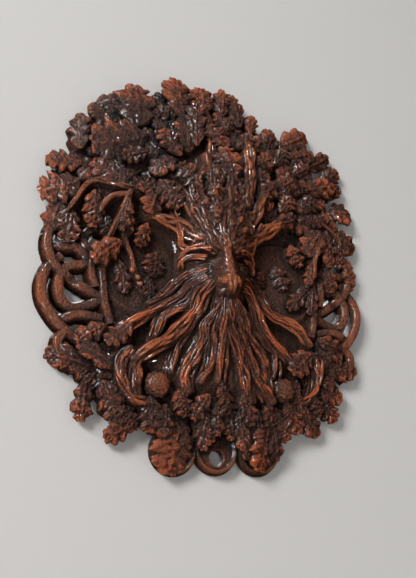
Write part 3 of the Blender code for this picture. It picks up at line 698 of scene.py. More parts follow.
class Sweeps:
    """Bands, roots, branches and twigs: a section run along a path that lies on the relief."""

    GRAIN_SCALE = 900.0
    ROPE_STEP = 1.2
    BAND_STEP = 0.9
    DIP_LENGTH = 0.12
    WANDERS = (16, 9, 12)

    def __init__(self, shop: Workshop, surface: Surface) -> None:
        """Args: shop, makes the objects; surface, the general surface."""
        self.shop = shop
        self.surface = surface
        self.tree = self._tree()

    @staticmethod
    def _tree() -> NodeTree:
        """A section swept along each path, roughened like a cast surface and kept off the wall."""
        kinds = {"Paths": "Object", "Section": "Object", "Grain": "Float", "Grain Scale": "Float",
                 "Wall Gap": "Float", "Material": "Material"}
        tree = NodeTree("swept_section", kinds)
        paths, section = (
            tree.add("GeometryNodeObjectInfo", Object=tree.given[label]).outputs["Geometry"]
            for label in ("Paths", "Section")
        )
        upright = tree.add("GeometryNodeSetCurveNormal", {"mode": "FREE"}, Curve=paths, Normal=(0, -1, 0))
        radius = tree.add("GeometryNodeInputRadius").outputs[0]
        swept = tree.add("GeometryNodeCurveToMesh", Curve=upright.outputs["Curve"], Profile_Curve=section,
                         Scale=radius, Fill_Caps=True)
        place = tree.add("GeometryNodeInputPosition").outputs[0]
        noise = tree.add("ShaderNodeTexNoise", Vector=place, Scale=tree.given["Grain Scale"], Detail=2.0)
        push = tree.sum("MULTIPLY", tree.sum("SUBTRACT", noise.outputs["Fac"], 0.5), tree.given["Grain"])
        normal = tree.add("GeometryNodeInputNormal").outputs[0]
        offset = tree.add("ShaderNodeVectorMath", {"operation": "SCALE"}, i0=normal, Scale=push).outputs[0]
        rough = tree.add("GeometryNodeSetPosition", Geometry=swept.outputs["Mesh"], Offset=offset)
        parts = tree.add("ShaderNodeSeparateXYZ", Vector=place)
        ahead = tree.sum("MINIMUM", parts.outputs["Y"], tree.given["Wall Gap"])
        kept = tree.add("ShaderNodeCombineXYZ", X=parts.outputs["X"], Y=ahead, Z=parts.outputs["Z"])
        held = tree.add(
            "GeometryNodeSetPosition", Geometry=rough.outputs["Geometry"], Position=kept.outputs[0]
        )
        return tree.end(held.outputs["Geometry"])

    @staticmethod
    def rounded(points: int = 15, flat: float = 0.9) -> list[Point]:
        """The section of a rope: its top is at 0 and its half width is 1.

        Args: points, how many round it; flat, its depth as a share of its width.
        Returns: section points, across and up.
        """
        turns = np.linspace(math.radians(-40), math.radians(220), points)
        return [(math.cos(turn), flat * (math.sin(turn) - 1)) for turn in turns]

    @staticmethod
    def banded(half: float, depth: float, draft: float = 1.3) -> list[Point]:
        """The section of a knotwork band: a bar with a rounded face.

        Args: half, half its width; depth, its depth; draft, how much each side leans out at the wall.
        Returns: section points in half widths, across and up.
        """
        side = [
            (1.0 + draft / half, -depth / half), (1.0, -0.75), (0.97, -0.55), (0.88, -0.34),
            (0.74, -0.18), (0.58, -0.08), (0.40, -0.02), (0.20, 0.0),
        ]
        return side + [(-across, up) for across, up in reversed(side)]

    def _curves(self, name: str, lines: list[Line], cyclic: bool = False) -> Object:
        """A curve object of straight-jointed lines.

        Args: name, its name; lines, the points in metres and the radii of each; cyclic, whether they close.
        Returns: the object.
        """
        data = bpy.data.curves.new(name, "CURVE")
        data.dimensions = "3D"
        for places, radii in lines:
            spline = data.splines.new("POLY")
            spline.points.add(len(places) - 1)
            spline.points.foreach_set("co", np.column_stack([places, np.ones(len(places))]).ravel())
            spline.points.foreach_set("radius", radii)
            spline.use_cyclic_u = cyclic
        return self.shop.link(name, data)

    def bundle(self, strand: Row, fine: float, seed: int) -> list[Line]:
        """The ropes side by side that make up one root, branch or twig.

        Args: strand, its widths, lift and points; fine, one rope's usual width; seed, chooses their wander.
        Returns: points and half widths of each rope, in metres.
        """
        root, end, lift, *points = strand
        places, share = path_through(points, self.ROPE_STEP)
        length = float(np.linalg.norm(np.diff(places, axis=0), axis=1).sum())
        ahead = np.gradient(places, axis=0)
        ahead /= np.linalg.norm(ahead, axis=1)[:, None]
        aside = np.column_stack([-ahead[:, 1], ahead[:, 0]])
        half = (root + (end - root) * share) / 2
        count = max(1, round((root + end) / 2 / fine))
        rng = np.random.default_rng(seed)
        ropes = []
        for number in range(count):
            seat = (2 * number + 1) / count - 1
            kept = len(places) if number == count // 2 else round(len(places) * rng.uniform(0.86, 1.0))
            first = seed * 40 + number * 3
            wander = [ripple(share * length, share, pitch, first + i) for i, pitch in enumerate(self.WANDERS)]
            middle = places + aside * ((seat * 0.88 + 0.20 * wander[0]) * half)[:, None]
            reach = np.clip((share / share[kept - 1] - 0.84) / 0.16, 0, 1)
            radius = half / count * (1.45 + 0.22 * wander[1]) * np.sqrt(1 - 0.93 * reach**2)
            radius = radius * np.sqrt(np.clip(share / 0.07, 0.1, 1))
            height = self.surface.swell(middle[:, 0], middle[:, 1]) + lift - 1.2 * reach**2
            height = height - half * 0.6 * (1 - math.sqrt(1 - 0.9 * seat**2)) + 0.60 * wander[2]
            plan = np.column_stack([middle, height])[:kept]
            ropes.append((self.shop.place(plan), radius[:kept] * self.shop.unit))
        return ropes

    def band_line(self, points: list[Point], half: float, height: float, dip: float, dip_at: float) -> Line:
        """The top line and half widths of one knotwork band.

        Args: points, the places that it passes; half, half its width; height, its face's height off the wall;
            dip, how far it dips under another; dip_at, the share of its length at which it dips.
        Returns: points and half widths in metres.
        """
        places, share = path_through(points, self.BAND_STEP)
        top = height - dip * np.exp(-(((share - dip_at) / self.DIP_LENGTH) ** 2))
        return self.shop.place(np.column_stack([places, top])), np.full(len(places), half * self.shop.unit)

    def make(
        self, name: str, lines: list[Line], section: list[Point], grain: float, material: Material
    ) -> Object:
        """Sweeps a section along lines and dresses the result.

        Args: name, the piece's name; lines, points and half widths of each path; section, points round the
            section, in half widths; grain, how deep the roughness is, in millimetres; material, the finish.
        Returns: the finished piece.
        """
        outline = np.array([(up, across, 0.0) for across, up in section])
        paths = self._curves(name + "_paths", lines)
        shape = self._curves(name + "_section", [(outline, np.ones(len(outline)))], cyclic=True)
        host = self.shop.link(name, bpy.data.meshes.new(name))
        unit = self.shop.unit
        self.tree.run(self.shop, host, {"Paths": paths, "Section": shape, "Grain": grain * unit,
                                        "Grain Scale": self.GRAIN_SCALE, "Wall Gap": -WALL_GAP * unit,
                                        "Material": material})
        bpy.data.objects.remove(paths)
        bpy.data.objects.remove(shape)
        self.shop.face_outwards(host.data)
        return self.shop.finish_piece(host, material)


@dataclass(frozen=True)
class LeafShape:
    """One oak leaf pattern, one long and one wide; its relief is in millimetres."""

    lobes: float = 3.5
    cut: float = 0.46
    sweep: float = 0.22
    curl: float = 1.5
    crown: float = 1.1
    lean: float = 0.0
    thickness: float = 2.6

    def mesh(self, shop: Workshop, name: str, ribs: int, across: int) -> Object:
        """The leaf as a closed plate lying on its stem end, pointing along +Y.

        Args: shop, makes the object; name, its name; ribs, rows from stem to tip; across, its columns.
        Returns: the pattern object.
        """
        s, t = np.meshgrid(np.linspace(0.012, 0.99, ribs), np.linspace(-1, 1, across), indexing="ij")
        side = np.abs(t)
        wave = np.abs(np.sin(np.pi * (self.lobes * s**1.12 + 0.15 * self.lean * t)))
        lobe = wave**0.55
        envelope = np.sin(np.pi * s**0.95) ** 0.5
        half = 0.5 * envelope * (1 - self.cut * (1 - lobe))
        half = half * (1 + 0.08 * ripple(s * 40, 2 * t, 4, round(9 * self.cut * self.lobes)))
        x = t * half + 0.05 * self.lean * np.sin(np.pi * s)
        y = s + self.sweep * np.abs(x)
        h = -self.crown * side**2 * envelope - self.curl * (2 * s - 1) ** 2
        h += 0.9 * (lobe - 0.7) * side**0.7 * envelope
        h += 0.75 * np.exp(-((t / 0.08) ** 2)) * (1 - 0.5 * s)
        h -= 0.55 * np.exp(-(((side - 0.20) / 0.09) ** 2)) * envelope
        h += 0.45 * np.exp(-(((1 - wave) / 0.05) ** 2)) * np.sqrt(side) * (1 - side**4)
        h -= 0.7 * side**10
        for depth, pitch, seed in ((0.35, 5, 7), (0.30, 2.3, 8)):
            h += depth * ripple(x * 20, y * 30, pitch, seed + round(10 * self.curl))
        top = np.stack([x, y, h / 1000], axis=-1).reshape(-1, 3)
        low = np.stack([x * 0.86, 0.5 + (y - 0.5) * 0.95, (h - self.thickness) / 1000], axis=-1)
        low = low.reshape(-1, 3)
        faces, rim = sheet_faces(ribs, across)
        after, under = np.roll(rim, -1), len(top)
        sides = np.stack([after, rim, rim + under, after + under], axis=-1)
        mesh = bpy.data.meshes.new(name)
        rows = np.concatenate([faces, faces[:, ::-1] + under, sides]).tolist()
        mesh.from_pydata(np.concatenate([top, low]), [], rows)
        shop.face_outwards(mesh)
        return shop.link(name, mesh)


LEAF_SHAPES = (
    LeafShape(), LeafShape(lobes=2.5, cut=0.42, curl=2.4, lean=1.0),
    LeafShape(lobes=3.5, cut=0.46, sweep=0.30, curl=1.2, lean=-1.0),
    LeafShape(lobes=2.5, cut=0.52, crown=2.0, curl=0.8, lean=0.6),
)


class Foliage:
    """Oak leaves: a few patterns set out by rows, each turned, tilted and stretched to lie on the relief."""

    ROLL = 0.30
    WIDENING = 1.15

    def __init__(self, shop: Workshop, surface: Surface) -> None:
        """Args: shop, makes the objects; surface, the general surface."""
        self.shop = shop
        self.surface = surface
        self.tree = self._tree()

    @staticmethod
    def _tree() -> NodeTree:
        """Patterns placed on points by the points' own turn, size and kind."""
        tree = NodeTree("leaf_setting", {"Patterns": "Collection", "Seed": "Int", "Material": "Material"})
        patterns = tree.add("GeometryNodeCollectionInfo", Collection=tree.given["Patterns"],
                            Separate_Children=True, Reset_Children=True)
        turn, size, kind = (
            tree.add("GeometryNodeInputNamedAttribute", {"data_type": data}, Name=name).outputs["Attribute"]
            for name, data in (("turn", "FLOAT_VECTOR"), ("size", "FLOAT_VECTOR"), ("kind", "INT"))
        )
        placed = tree.add("GeometryNodeInstanceOnPoints", Points=tree.given["Geometry"], Pick_Instance=True,
                          Instance=patterns.outputs["Instances"], Instance_Index=kind,
                          Rotation=turn, Scale=size)
        chance = tree.add("FunctionNodeRandomValue", {"data_type": "FLOAT"}, Seed=tree.given["Seed"])
        toned = tree.add("GeometryNodeStoreNamedAttribute", {"data_type": "FLOAT", "domain": "INSTANCE"},
                         Geometry=placed.outputs["Instances"], Name="tone", Value=chance.outputs[1])
        return tree.end(toned.outputs["Geometry"])

    def _setting(self, leaf: Row, rng: np.random.Generator) -> tuple[Vector, Vector, Vector]:
        """Where and how one leaf lies.

        Args: leaf, its stem, tip, width and lift; rng, chooses its roll.
        Returns: its place, its turn and its size, in metres.
        """
        stem, tip, width, lift = leaf[:2], leaf[2:4], leaf[4], leaf[5]
        middle = ((stem[0] + tip[0]) / 2, (stem[1] + tip[1]) / 2)
        seat = float(self.surface.swell(*middle))
        base, end = (Vector((*p, (seat + float(self.surface.swell(*p))) / 2 + lift)) for p in (stem, tip))
        along, outwards = (Vector((v.x, -v.z, v.y)) for v in (end - base, self.surface.slope(*middle)))
        length = along.length
        along.normalize()
        outwards = Matrix.Rotation(rng.uniform(-self.ROLL, self.ROLL), 3, along) @ outwards
        across = along.cross(outwards).normalized()
        turn = Matrix((across, along, across.cross(along))).transposed().to_euler("XYZ")
        unit = self.shop.unit
        place = Vector((stem[0], -base.z, stem[1])) * unit
        return place, Vector(turn), Vector((width * self.WIDENING * unit, length * unit, 1.0))

    def make(self, name: str, leaves: tuple, seed: int, ribs: int, across: int, material: Material) -> Object:
        """Sets out leaves and dresses them.

        Args: name, the piece's name; leaves, a row each; seed, chooses pattern, roll and tone; ribs, across,
            rows and columns of each leaf's mesh; material, the finish.
        Returns: the finished piece.
        """
        rng = np.random.default_rng(seed)
        places, turns, sizes = zip(*(self._setting(leaf, rng) for leaf in leaves))
        mesh = bpy.data.meshes.new(name)
        mesh.from_pydata(list(places), [], [])
        for label, column in (("turn", turns), ("size", sizes)):
            values = np.array(column, np.float32).ravel()
            mesh.attributes.new(label, "FLOAT_VECTOR", "POINT").data.foreach_set("vector", values)
        kinds = rng.integers(0, len(LEAF_SHAPES), len(leaves))
        mesh.attributes.new("kind", "INT", "POINT").data.foreach_set("value", kinds.astype(np.int32))
        patterns = bpy.data.collections.new(name + "_patterns")
        for number, shape in enumerate(LEAF_SHAPES):
            pattern = shape.mesh(self.shop, f"{name}_pattern_{number}", ribs, across)
            bpy.context.scene.collection.objects.unlink(pattern)
            patterns.objects.link(pattern)
        host = self.shop.link(name, mesh)
        self.tree.run(self.shop, host, {"Patterns": patterns, "Seed": seed, "Material": material})
        for pattern in list(patterns.objects):
            bpy.data.objects.remove(pattern)
        bpy.data.collections.remove(patterns)
        corners = np.empty(len(host.data.vertices) * 3, np.float32)
        host.data.vertices.foreach_get("co", corners)
        corners[1::3] = np.minimum(corners[1::3], -WALL_GAP * self.shop.unit)
        host.data.vertices.foreach_set("co", corners)
        host.data.shade_smooth()
        return self.shop.finish_piece(host, material)


@dataclass
class Ground:
    """The casting behind the carving: plate, bed, discs, and a seat under each leaf and root."""

    shop: Workshop
    surface: Surface
    plate: float = 4.0
    bed_drop: float = 7.0
    disc_lip: float = 1.2
    step: float = 0.75
    hole_place: Point = (-4.0, -101.3)
    hole_radius: float = 4.2
    keyhole_place: Point = (0.0, 62.0)
    keyhole_radius: float = 5.0
    keyhole_slot: float = 5.2
    keyhole_rise: float = 8.5
    keyhole_depth: float = 7.0
    keyhole_lip: float = 2.2
    cut_margin: float = 4.0
    lobe_radius: float = 12.3

    def _outline(self, x: Array, z: Array) -> Array:
        """How far each place lies inside the plate's edge."""
        crown = np.minimum((1 - np.hypot(x / 88, (z - 50) / 64)) * 70, z - 23)
        waist = np.minimum(66 - np.abs(x), 70 - np.abs(z))
        skirt = np.minimum((1 - np.hypot(x / 70, (z + 44) / 47)) * 55, -40 - z)
        return np.maximum(np.maximum(crown, waist), skirt)

    def keyhole(self) -> Cuts:
        """Helpers that cut the hanging keyhole into the back."""
        px, pz = self.keyhole_place
        ring = circle(self.keyhole_place, self.keyhole_radius, 32)
        head = self.shop.prism("keyhole_head", ring, -self.cut_margin, self.keyhole_depth)
        helpers = [(head, "DIFFERENCE")]
        for name, width, near, far in (
            ("keyhole_neck", self.keyhole_slot, -self.cut_margin, self.keyhole_depth - 0.5),
            ("keyhole_pocket", 2 * self.keyhole_radius - 0.6, self.keyhole_lip, self.keyhole_depth - 0.2),
        ):
            outline = circle((px, pz + self.keyhole_rise), width / 2, 32, start=0)[:17]
            outline += [(px - width / 2, pz), (px + width / 2, pz)]
            helpers.append((self.shop.prism(name, outline, near, far), "DIFFERENCE"))
        return helpers

    def fixing_hole(self) -> Cuts:
        """The helper that cuts the hole through the foot."""
        ring = circle(self.hole_place, self.hole_radius, 40)
        return [(self.shop.prism("fixing_hole", ring, -self.cut_margin, 60), "DIFFERENCE")]

    def make(self, leaves: tuple, strands: tuple, material: Material) -> Object:
        """Builds the ground.

        Args: leaves, strands, the rows of what it carries; material, the finish.
        Returns: the finished piece.
        """
        surface = self.surface
        clay = Field((-112, -118), (112, 138), self.step)
        x, z = clay.x, clay.z
        inside = self._outline(x, z)
        clay.lay(np.minimum(self.plate, inside * WALL_SLOPE))
        bed = surface.swell(x, z) - self.bed_drop + 0.5 * ripple(x, z, 7, 3)
        fan, reach = np.arctan2(x, -8 - z), np.hypot(x, z + 8)
        apron = surface.swell(x, z) - 3.4 + 1.0 * np.abs(np.sin(fan * 24 + 0.6 * ripple(x, z, 9, 6)))
        bed = bed + (apron - bed) * smooth(0.95 - np.abs(fan), 0, 0.25) * smooth(64 - reach, 0, 8)
        clay.lay(np.where(inside > self.bed_drop, bed, clay.floor))
        for cx, cz in FOOT_LOBES:
            past = np.hypot(x - cx, z - cz) - self.lobe_radius + 1.5
            clay.lay(self.plate - 0.6 - np.maximum(past, 0) * WALL_SLOPE)
        for side in (-1, 1):
            away = np.hypot(x - side * surface.disc_x, z - surface.disc_z)
            inner = away < surface.disc_radius
            floor = surface.disc_floor + 0.12 * ripple(x, z, 5, 5)
            clay.height[inner] = np.minimum(clay.height[inner], floor[inner])
            lip = surface.disc_floor + self.disc_lip * np.exp(-(((away - surface.disc_radius) / 1.3) ** 2))
            clay.lay(np.where(away < surface.disc_radius + 2.4, lip, clay.floor))
        for strand in strands:
            clay.lay_strand(surface, strand, slim=0.82, sink=1.3)
        for leaf in leaves:
            clay.lay_leaf(surface, leaf, slim=0.68, sink=2.6)
        block = [(-300, -300), (300, -300), (300, 300), (-300, 300)]
        wall = [(self.shop.prism("front_of_wall", block, 0, 200), "INTERSECT")]
        slab = clay.slab(self.shop, "plaque_ground", -8)
        ground = self.shop.cut(slab, wall + self.keyhole() + self.fixing_hole())
        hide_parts(NODE)
        return self.shop.finish_piece(ground, material)


@dataclass
class TrunkMask:
    """The trunk with the mask in it: bark running up from the brow, nose, cheeks and hollow eyes."""

    shop: Workshop
    surface: Surface
    nose_rise: float = 9.0
    step: float = 0.45
    bed_drop: float = 9.0

    def _face(self, x: Array, z: Array) -> Array:
        """The mask's height above the general surface."""
        ridge = np.exp(-np.abs(x / (4.4 + 2.2 * smooth(-z, -12, 12))) ** 2.2)
        nose = ridge * (0.36 + 0.50 * smooth(-z, -14, 12)) * smooth(z, -20.5, -12.5) * smooth(-z, -30, -6)
        wings = 0.36 * twins(x, z, 5.8, -9.5, 3.0, 3.4)
        nostril = 0.22 * twins(x, z, 4.6, -13.4, 1.7, 1.3)
        brow = 0.26 * (twins(x, z, 9, 16, 8, 4.5) + bump(x, z, 0, 16, 6, 9))
        cheeks = 0.16 * twins(x, z, 15, 1, 8, 8)
        fold = 0.16 * twins(x, z, 9.5, -4, 1.6, 7)
        eyes = 0.75 * twins(x, z, 9.2, 8, 3.8, 2.6)
        lids = 0.14 * twins(x, z, 9.2, 4.6, 4.5, 1.0)
        return self.nose_rise * (nose + wings - nostril + brow + cheeks - fold - eyes + lids) - 1.0

    def _bark(self, x: Array, z: Array) -> Array:
        """Flutes that fan out from the nose and wander as they climb."""
        turn, reach = np.arctan2(x, z + 16), np.hypot(x, z + 16)
        wander = 0.13 * ripple(x, z, 26, 11) + 0.050 * ripple(x, z, 9, 12)
        coarse = np.abs(np.sin((turn + wander) * 14)) ** 0.8 * (1 + 0.30 * ripple(x, z, 10, 14))
        fine = np.abs(np.sin((turn + wander * 1.4) * 43 + 0.9 * ripple(x, z, 8, 13)))
        knots = 1.6 * bump(x, z, -7.5, 31, 3, 3.4) - 1.5 * bump(x, z, -7.5, 31, 1.2, 1.5)
        knots = knots + 1.3 * bump(x, z, 15, 27, 2.4, 4.4) - 1.2 * bump(x, z, 3, 26, 2.0, 6)
        furrows = 2.0 * bump(x, z, 6.5, 48, 1.5, 15) + 1.6 * bump(x, z, -5, 58, 1.4, 13)
        ridges = 3.1 * coarse + 0.7 * fine + 0.35 * ripple(x, z, 3.0, 15) - 2.3
        return ridges * smooth(reach, 22, 36) + knots * smooth(reach, 20, 30) - furrows

    def make(self, helpers: Cuts, material: Material) -> Object:
        """Builds the trunk and mask.

        Args: helpers, what is cut from its back; material, the finish.
        Returns: the finished piece.
        """
        clay = Field((-30, -21), (33, 92), self.step, floor=3.2)
        x, z = clay.x, clay.z
        ground = self.surface.swell(x, z)
        grain = 0.22 * ripple(x + 0.35 * z, z * 0.3, 2.4, 21) + 0.15 * ripple(x, z, 3, 24)
        rays = np.abs(np.sin(np.arctan2(np.abs(x) - 3, 4 - z) * 13 + 0.5 * ripple(x, z, 8, 25))) - 0.6
        face = ground + self._face(x, z) + grain + 1.2 * rays * smooth(np.hypot(x, z - 2), 8, 13)
        bark = ground + 1.0 + self._bark(x, z) + 0.18 * ripple(x, z, 2.2, 22)
        face = face + (bark - face) * smooth(z + 0.25 * np.abs(x), 12, 24)
        bed = ground - self.bed_drop
        mask = smooth(bump(x, z, 0, 2, 22, 22), 0.20, 0.40)
        trunk = smooth(bump(x, z, 2, 38, 24, 36), 0.30, 0.50) * smooth(z, 14, 24)
        clay.lay(bed + (face - bed) * mask)
        clay.lay(bed + (bark - bed) * trunk)
        edge = np.minimum(np.minimum(x - x.min(), x.max() - x), np.minimum(z - z.min(), z.max() - z))
        clay.height = np.where(edge < 0.8, clay.floor, clay.height)
        piece = self.shop.cut(clay.slab(self.shop, "trunk_and_mask", 2.2), helpers)
        return self.shop.finish_piece(piece, material)


@dataclass
class FootLobes:
    """Three round lobes at the foot, each with a raised rim, the middle one holed for a screw."""

    shop: Workshop
    ground: Ground
    lip_width: float = 2.4
    lip_rise: float = 1.6
    centre_radius: float = 2.0
    turns: int = 72

    def _ring(self, centre: Point, radius: float, height: float) -> Array:
        """A circle of plan rows."""
        return np.column_stack([circle(centre, radius, self.turns, start=0), np.full(self.turns, height)])

    def _lobe(self, centre: Point, hole: Point | None) -> tuple[Array, Array, list]:
        """One lobe as a closed shell of rings.

        Args: centre, the lobe's centre; hole, the screw hole's centre, if it has one.
        Returns: plan rows, faces of four corners, and the faces that close its ends.
        """
        plate, radius = self.ground.plate, self.ground.lobe_radius
        inner, bore = (centre, self.centre_radius) if hole is None else (hole, self.ground.hole_radius)
        lip = self.lip_rise
        rings = [] if hole is None else [self._ring(inner, bore + 0.15, 0.4), self._ring(inner, bore, 0.6)]
        mouth = ((0.0, 0.1), (0.5, 0.5), (1.2, 0.15))
        rings += [self._ring(inner, bore + out, plate + up) for out, up in mouth]
        from_hole = self._ring(inner, bore + 1.2, plate)
        to_lip = self._ring(centre, radius - self.lip_width - 0.3, plate)
        rings += [from_hole + (to_lip - from_hole) * share for share in (0.35, 0.7, 1.0)]
        rings += [self._ring(centre, radius - inset, plate + lip + up) for inset, up in (
            (2.1, -0.5), (1.7, -0.1), (1.2, 0.0), (0.6, -0.15), (0.25, -0.5), (0.0, -1.1),
        )]
        rings += [self._ring(centre, radius + 1.0, height) for height in (0.6, 0.4)]
        last = (len(rings) - 1) * self.turns
        ends = [] if hole else [list(range(self.turns)), list(range(last, last + self.turns))]
        return np.concatenate(rings), ring_faces(len(rings), self.turns, hole is not None), ends

    def make(self, material: Material) -> Object:
        """Builds the three lobes."""
        plans, faces, start = [], [], 0
        for centre in FOOT_LOBES:
            hole = self.ground.hole_place if centre == FOOT_LOBES[1] else None
            plan, sides, ends = self._lobe(centre, hole)
            faces += [[corner + start for corner in face] for face in [*sides.tolist(), *ends]]
            plans.append(plan)
            start += len(plan)
        return self.shop.finish_piece(self.shop.piece("foot_lobes", np.concatenate(plans), faces), material)


@dataclass
class Fruit:
    """Acorns without their cups among the lower leaves, and berries on a twig."""

    shop: Workshop
    surface: Surface
    acorn_radius: float = 7.0
    acorn_rise: float = 4.6
    acorn_sink: float = 2.0
    berry_radius: float = 1.6
    berry_rise: float = 2.2
    berry_seed: int = 4

    def acorns(self, material: Material, rings: int = 18, turns: int = 40) -> Object:
        """Round domes with worn scales.

        Args: material, the finish; rings, turns, how finely each dome is divided.
        Returns: the finished piece.
        """
        plans, faces = [], []
        i, j = np.mgrid[1:rings + 1, 0:turns]
        angle = math.pi * 0.62 * i / rings
        turn = 2 * math.pi * (j + 0.5 * (i % 2)) / turns
        for number, (cx, cz) in enumerate(ACORNS):
            top = float(self.surface.swell(cx, cz)) - self.acorn_sink
            bulge = 1 + 0.09 * np.sin(6 * turn + 7 * angle) * np.sin(6 * turn - 7 * angle)
            bulge = bulge + 0.05 * np.sin(3 * turn + cx + 5 * angle) - 0.03
            reach = self.acorn_radius * np.sin(angle) * bulge
            height = top + self.acorn_rise * np.cos(angle)
            rows = (cx + reach * np.cos(turn), cz + reach * np.sin(turn), height)
            plans += [[(cx, cz, top + self.acorn_rise)], np.stack(rows, axis=-1).reshape(-1, 3)]
            pole = number * (rings * turns + 1)
            sides = ring_faces(rings, turns, False) + pole + 1
            faces += [[pole, pole + 1 + k, pole + 1 + (k + 1) % turns] for k in range(turns)]
            faces += [*sides.tolist(), list(range(pole + 1 + (rings - 1) * turns, pole + 1 + rings * turns))]
        return self.shop.finish_piece(self.shop.piece("acorns", np.concatenate(plans), faces), material)

    def berries(self, material: Material) -> Object:
        """Small balls set on points."""
        tree = NodeTree("berry_setting", {"Berry Radius": "Float", "Seed": "Int", "Material": "Material"})
        ball = tree.add("GeometryNodeMeshIcoSphere", Radius=tree.given["Berry Radius"], Subdivisions=3)
        vary = tree.add(
            "FunctionNodeRandomValue", {"data_type": "FLOAT"}, Seed=tree.given["Seed"], i2=0.85, i3=1.15
        )
        placed = tree.add("GeometryNodeInstanceOnPoints", Points=tree.given["Geometry"],
                          Instance=ball.outputs["Mesh"], Scale=vary.outputs[1])
        tree.end(placed.outputs["Instances"])
        rows = [(px, pz, float(self.surface.swell(px, pz)) + self.berry_rise) for px, pz in BERRIES]
        mesh = bpy.data.meshes.new("berries")
        mesh.from_pydata(self.shop.place(np.array(rows)), [], [])
        host = self.shop.link("berries", mesh)
        radius = self.berry_radius * self.shop.unit
        tree.run(self.shop, host, {"Berry Radius": radius, "Seed": self.berry_seed, "Material": material})
        host.data.shade_smooth()
        return self.shop.finish_piece(host, material)


@dataclass
class PatinaAndShade:
    """Works out how far each point of the carving stands proud of what is round it, and adds painted shade:
    darker on faces turned aside from the front and in a few patches.
    """

    shop: Workshop
    cell: float = 1.0
    corner: Point = (-120.0, -125.0)
    cells: tuple[int, int] = (240, 270)
    spread: float = 5.0
    reach: float = 9.0
    fine_spread: float = 1.5
    fine_reach: float = 5.0
    side_shade: float = 0.22
    side_floor: float = 0.32
    # Painted shade: places darkened, most of all at the upper left of the crown, as x, z, reach and how much
    # darker.
    painted_shade_patches: tuple[Row, ...] = (
        (-52, 84, 24, 0.30), (-30, 70, 14, 0.15), (-58, -22, 14, 0.15), (10, 66, 14, 0.10),
    )

    def apply(self) -> None:
        """Stores the attribute raised on every piece, carrying the relief and the painted shade, and tone
        where a piece has none.
        """
        plans = [self._plan(thing) for thing in self.shop.made]
        top = np.zeros(self.cells[::-1])
        for plan in plans:
            np.maximum.at(top, self._spots(plan), plan[:, 2])
        around, beside = (self._blur(top, spread / self.cell) for spread in (self.spread, self.fine_spread))
        for thing, plan in zip(self.shop.made, plans):
            spots = self._spots(plan)
            normals = np.empty(len(plan) * 3, np.float32)
            thing.data.vertex_normals.foreach_get("vector", normals)
            front = np.clip(-normals.reshape(-1, 3)[:, 1], 0, 1)
            # Painted shade: faces turned aside from the front are darkened; side_floor below keeps them off
            # the darkest colour.
            raised = 0.5 + (plan[:, 2] - around[spots]) / self.reach + self.side_shade * (front - 0.75)
            raised = raised + np.clip((plan[:, 2] - beside[spots]) / self.fine_reach, -0.45, 0.30)
            # Painted shade: darker in each of these patches.
            for cx, cz, radius, depth in self.painted_shade_patches:
                raised = raised - depth * bump(plan[:, 0], plan[:, 1], cx, cz, radius, radius)
            raised = np.clip(np.maximum(raised, self.side_floor * (1 - front)), 0, 1)
            self._store(thing.data, "raised", raised)
            if "tone" not in thing.data.attributes:
                self._store(thing.data, "tone", np.full(len(plan), 0.5))

    def _plan(self, thing: Object) -> Array:
        """A piece's vertices as plan rows of x, z, h."""
        places = np.empty(len(thing.data.vertices) * 3, np.float32)
        thing.data.vertices.foreach_get("co", places)
        places = places.reshape(-1, 3) / self.shop.unit
        return np.column_stack([places[:, 0], places[:, 2], -places[:, 1]])

    def _spots(self, plan: Array) -> tuple[Array, Array]:
        """The height map's rows and columns of plan rows."""
        i, j = (
            np.clip(((plan[:, axis] - self.corner[axis]) / self.cell).astype(int), 0, self.cells[axis] - 1)
            for axis in (1, 0)
        )
        return i, j

    @staticmethod
    def _blur(grid: Array, sigma: float) -> Array:
        """A grid softened evenly."""
        reach = np.arange(-int(3 * sigma), int(3 * sigma) + 1)
        weights = np.exp(-((reach / sigma) ** 2) / 2)
        weights /= weights.sum()
        for axis in (0, 1):
            grid = np.apply_along_axis(lambda line: np.convolve(line, weights, "same"), axis, grid)
        return grid

    @staticmethod
    def _store(mesh: bpy.types.Mesh, name: str, values: Array) -> None:
        """A number for each point of a mesh."""
        mesh.attributes.new(name, "FLOAT", "POINT").data.foreach_set("value", values.astype(np.float32))


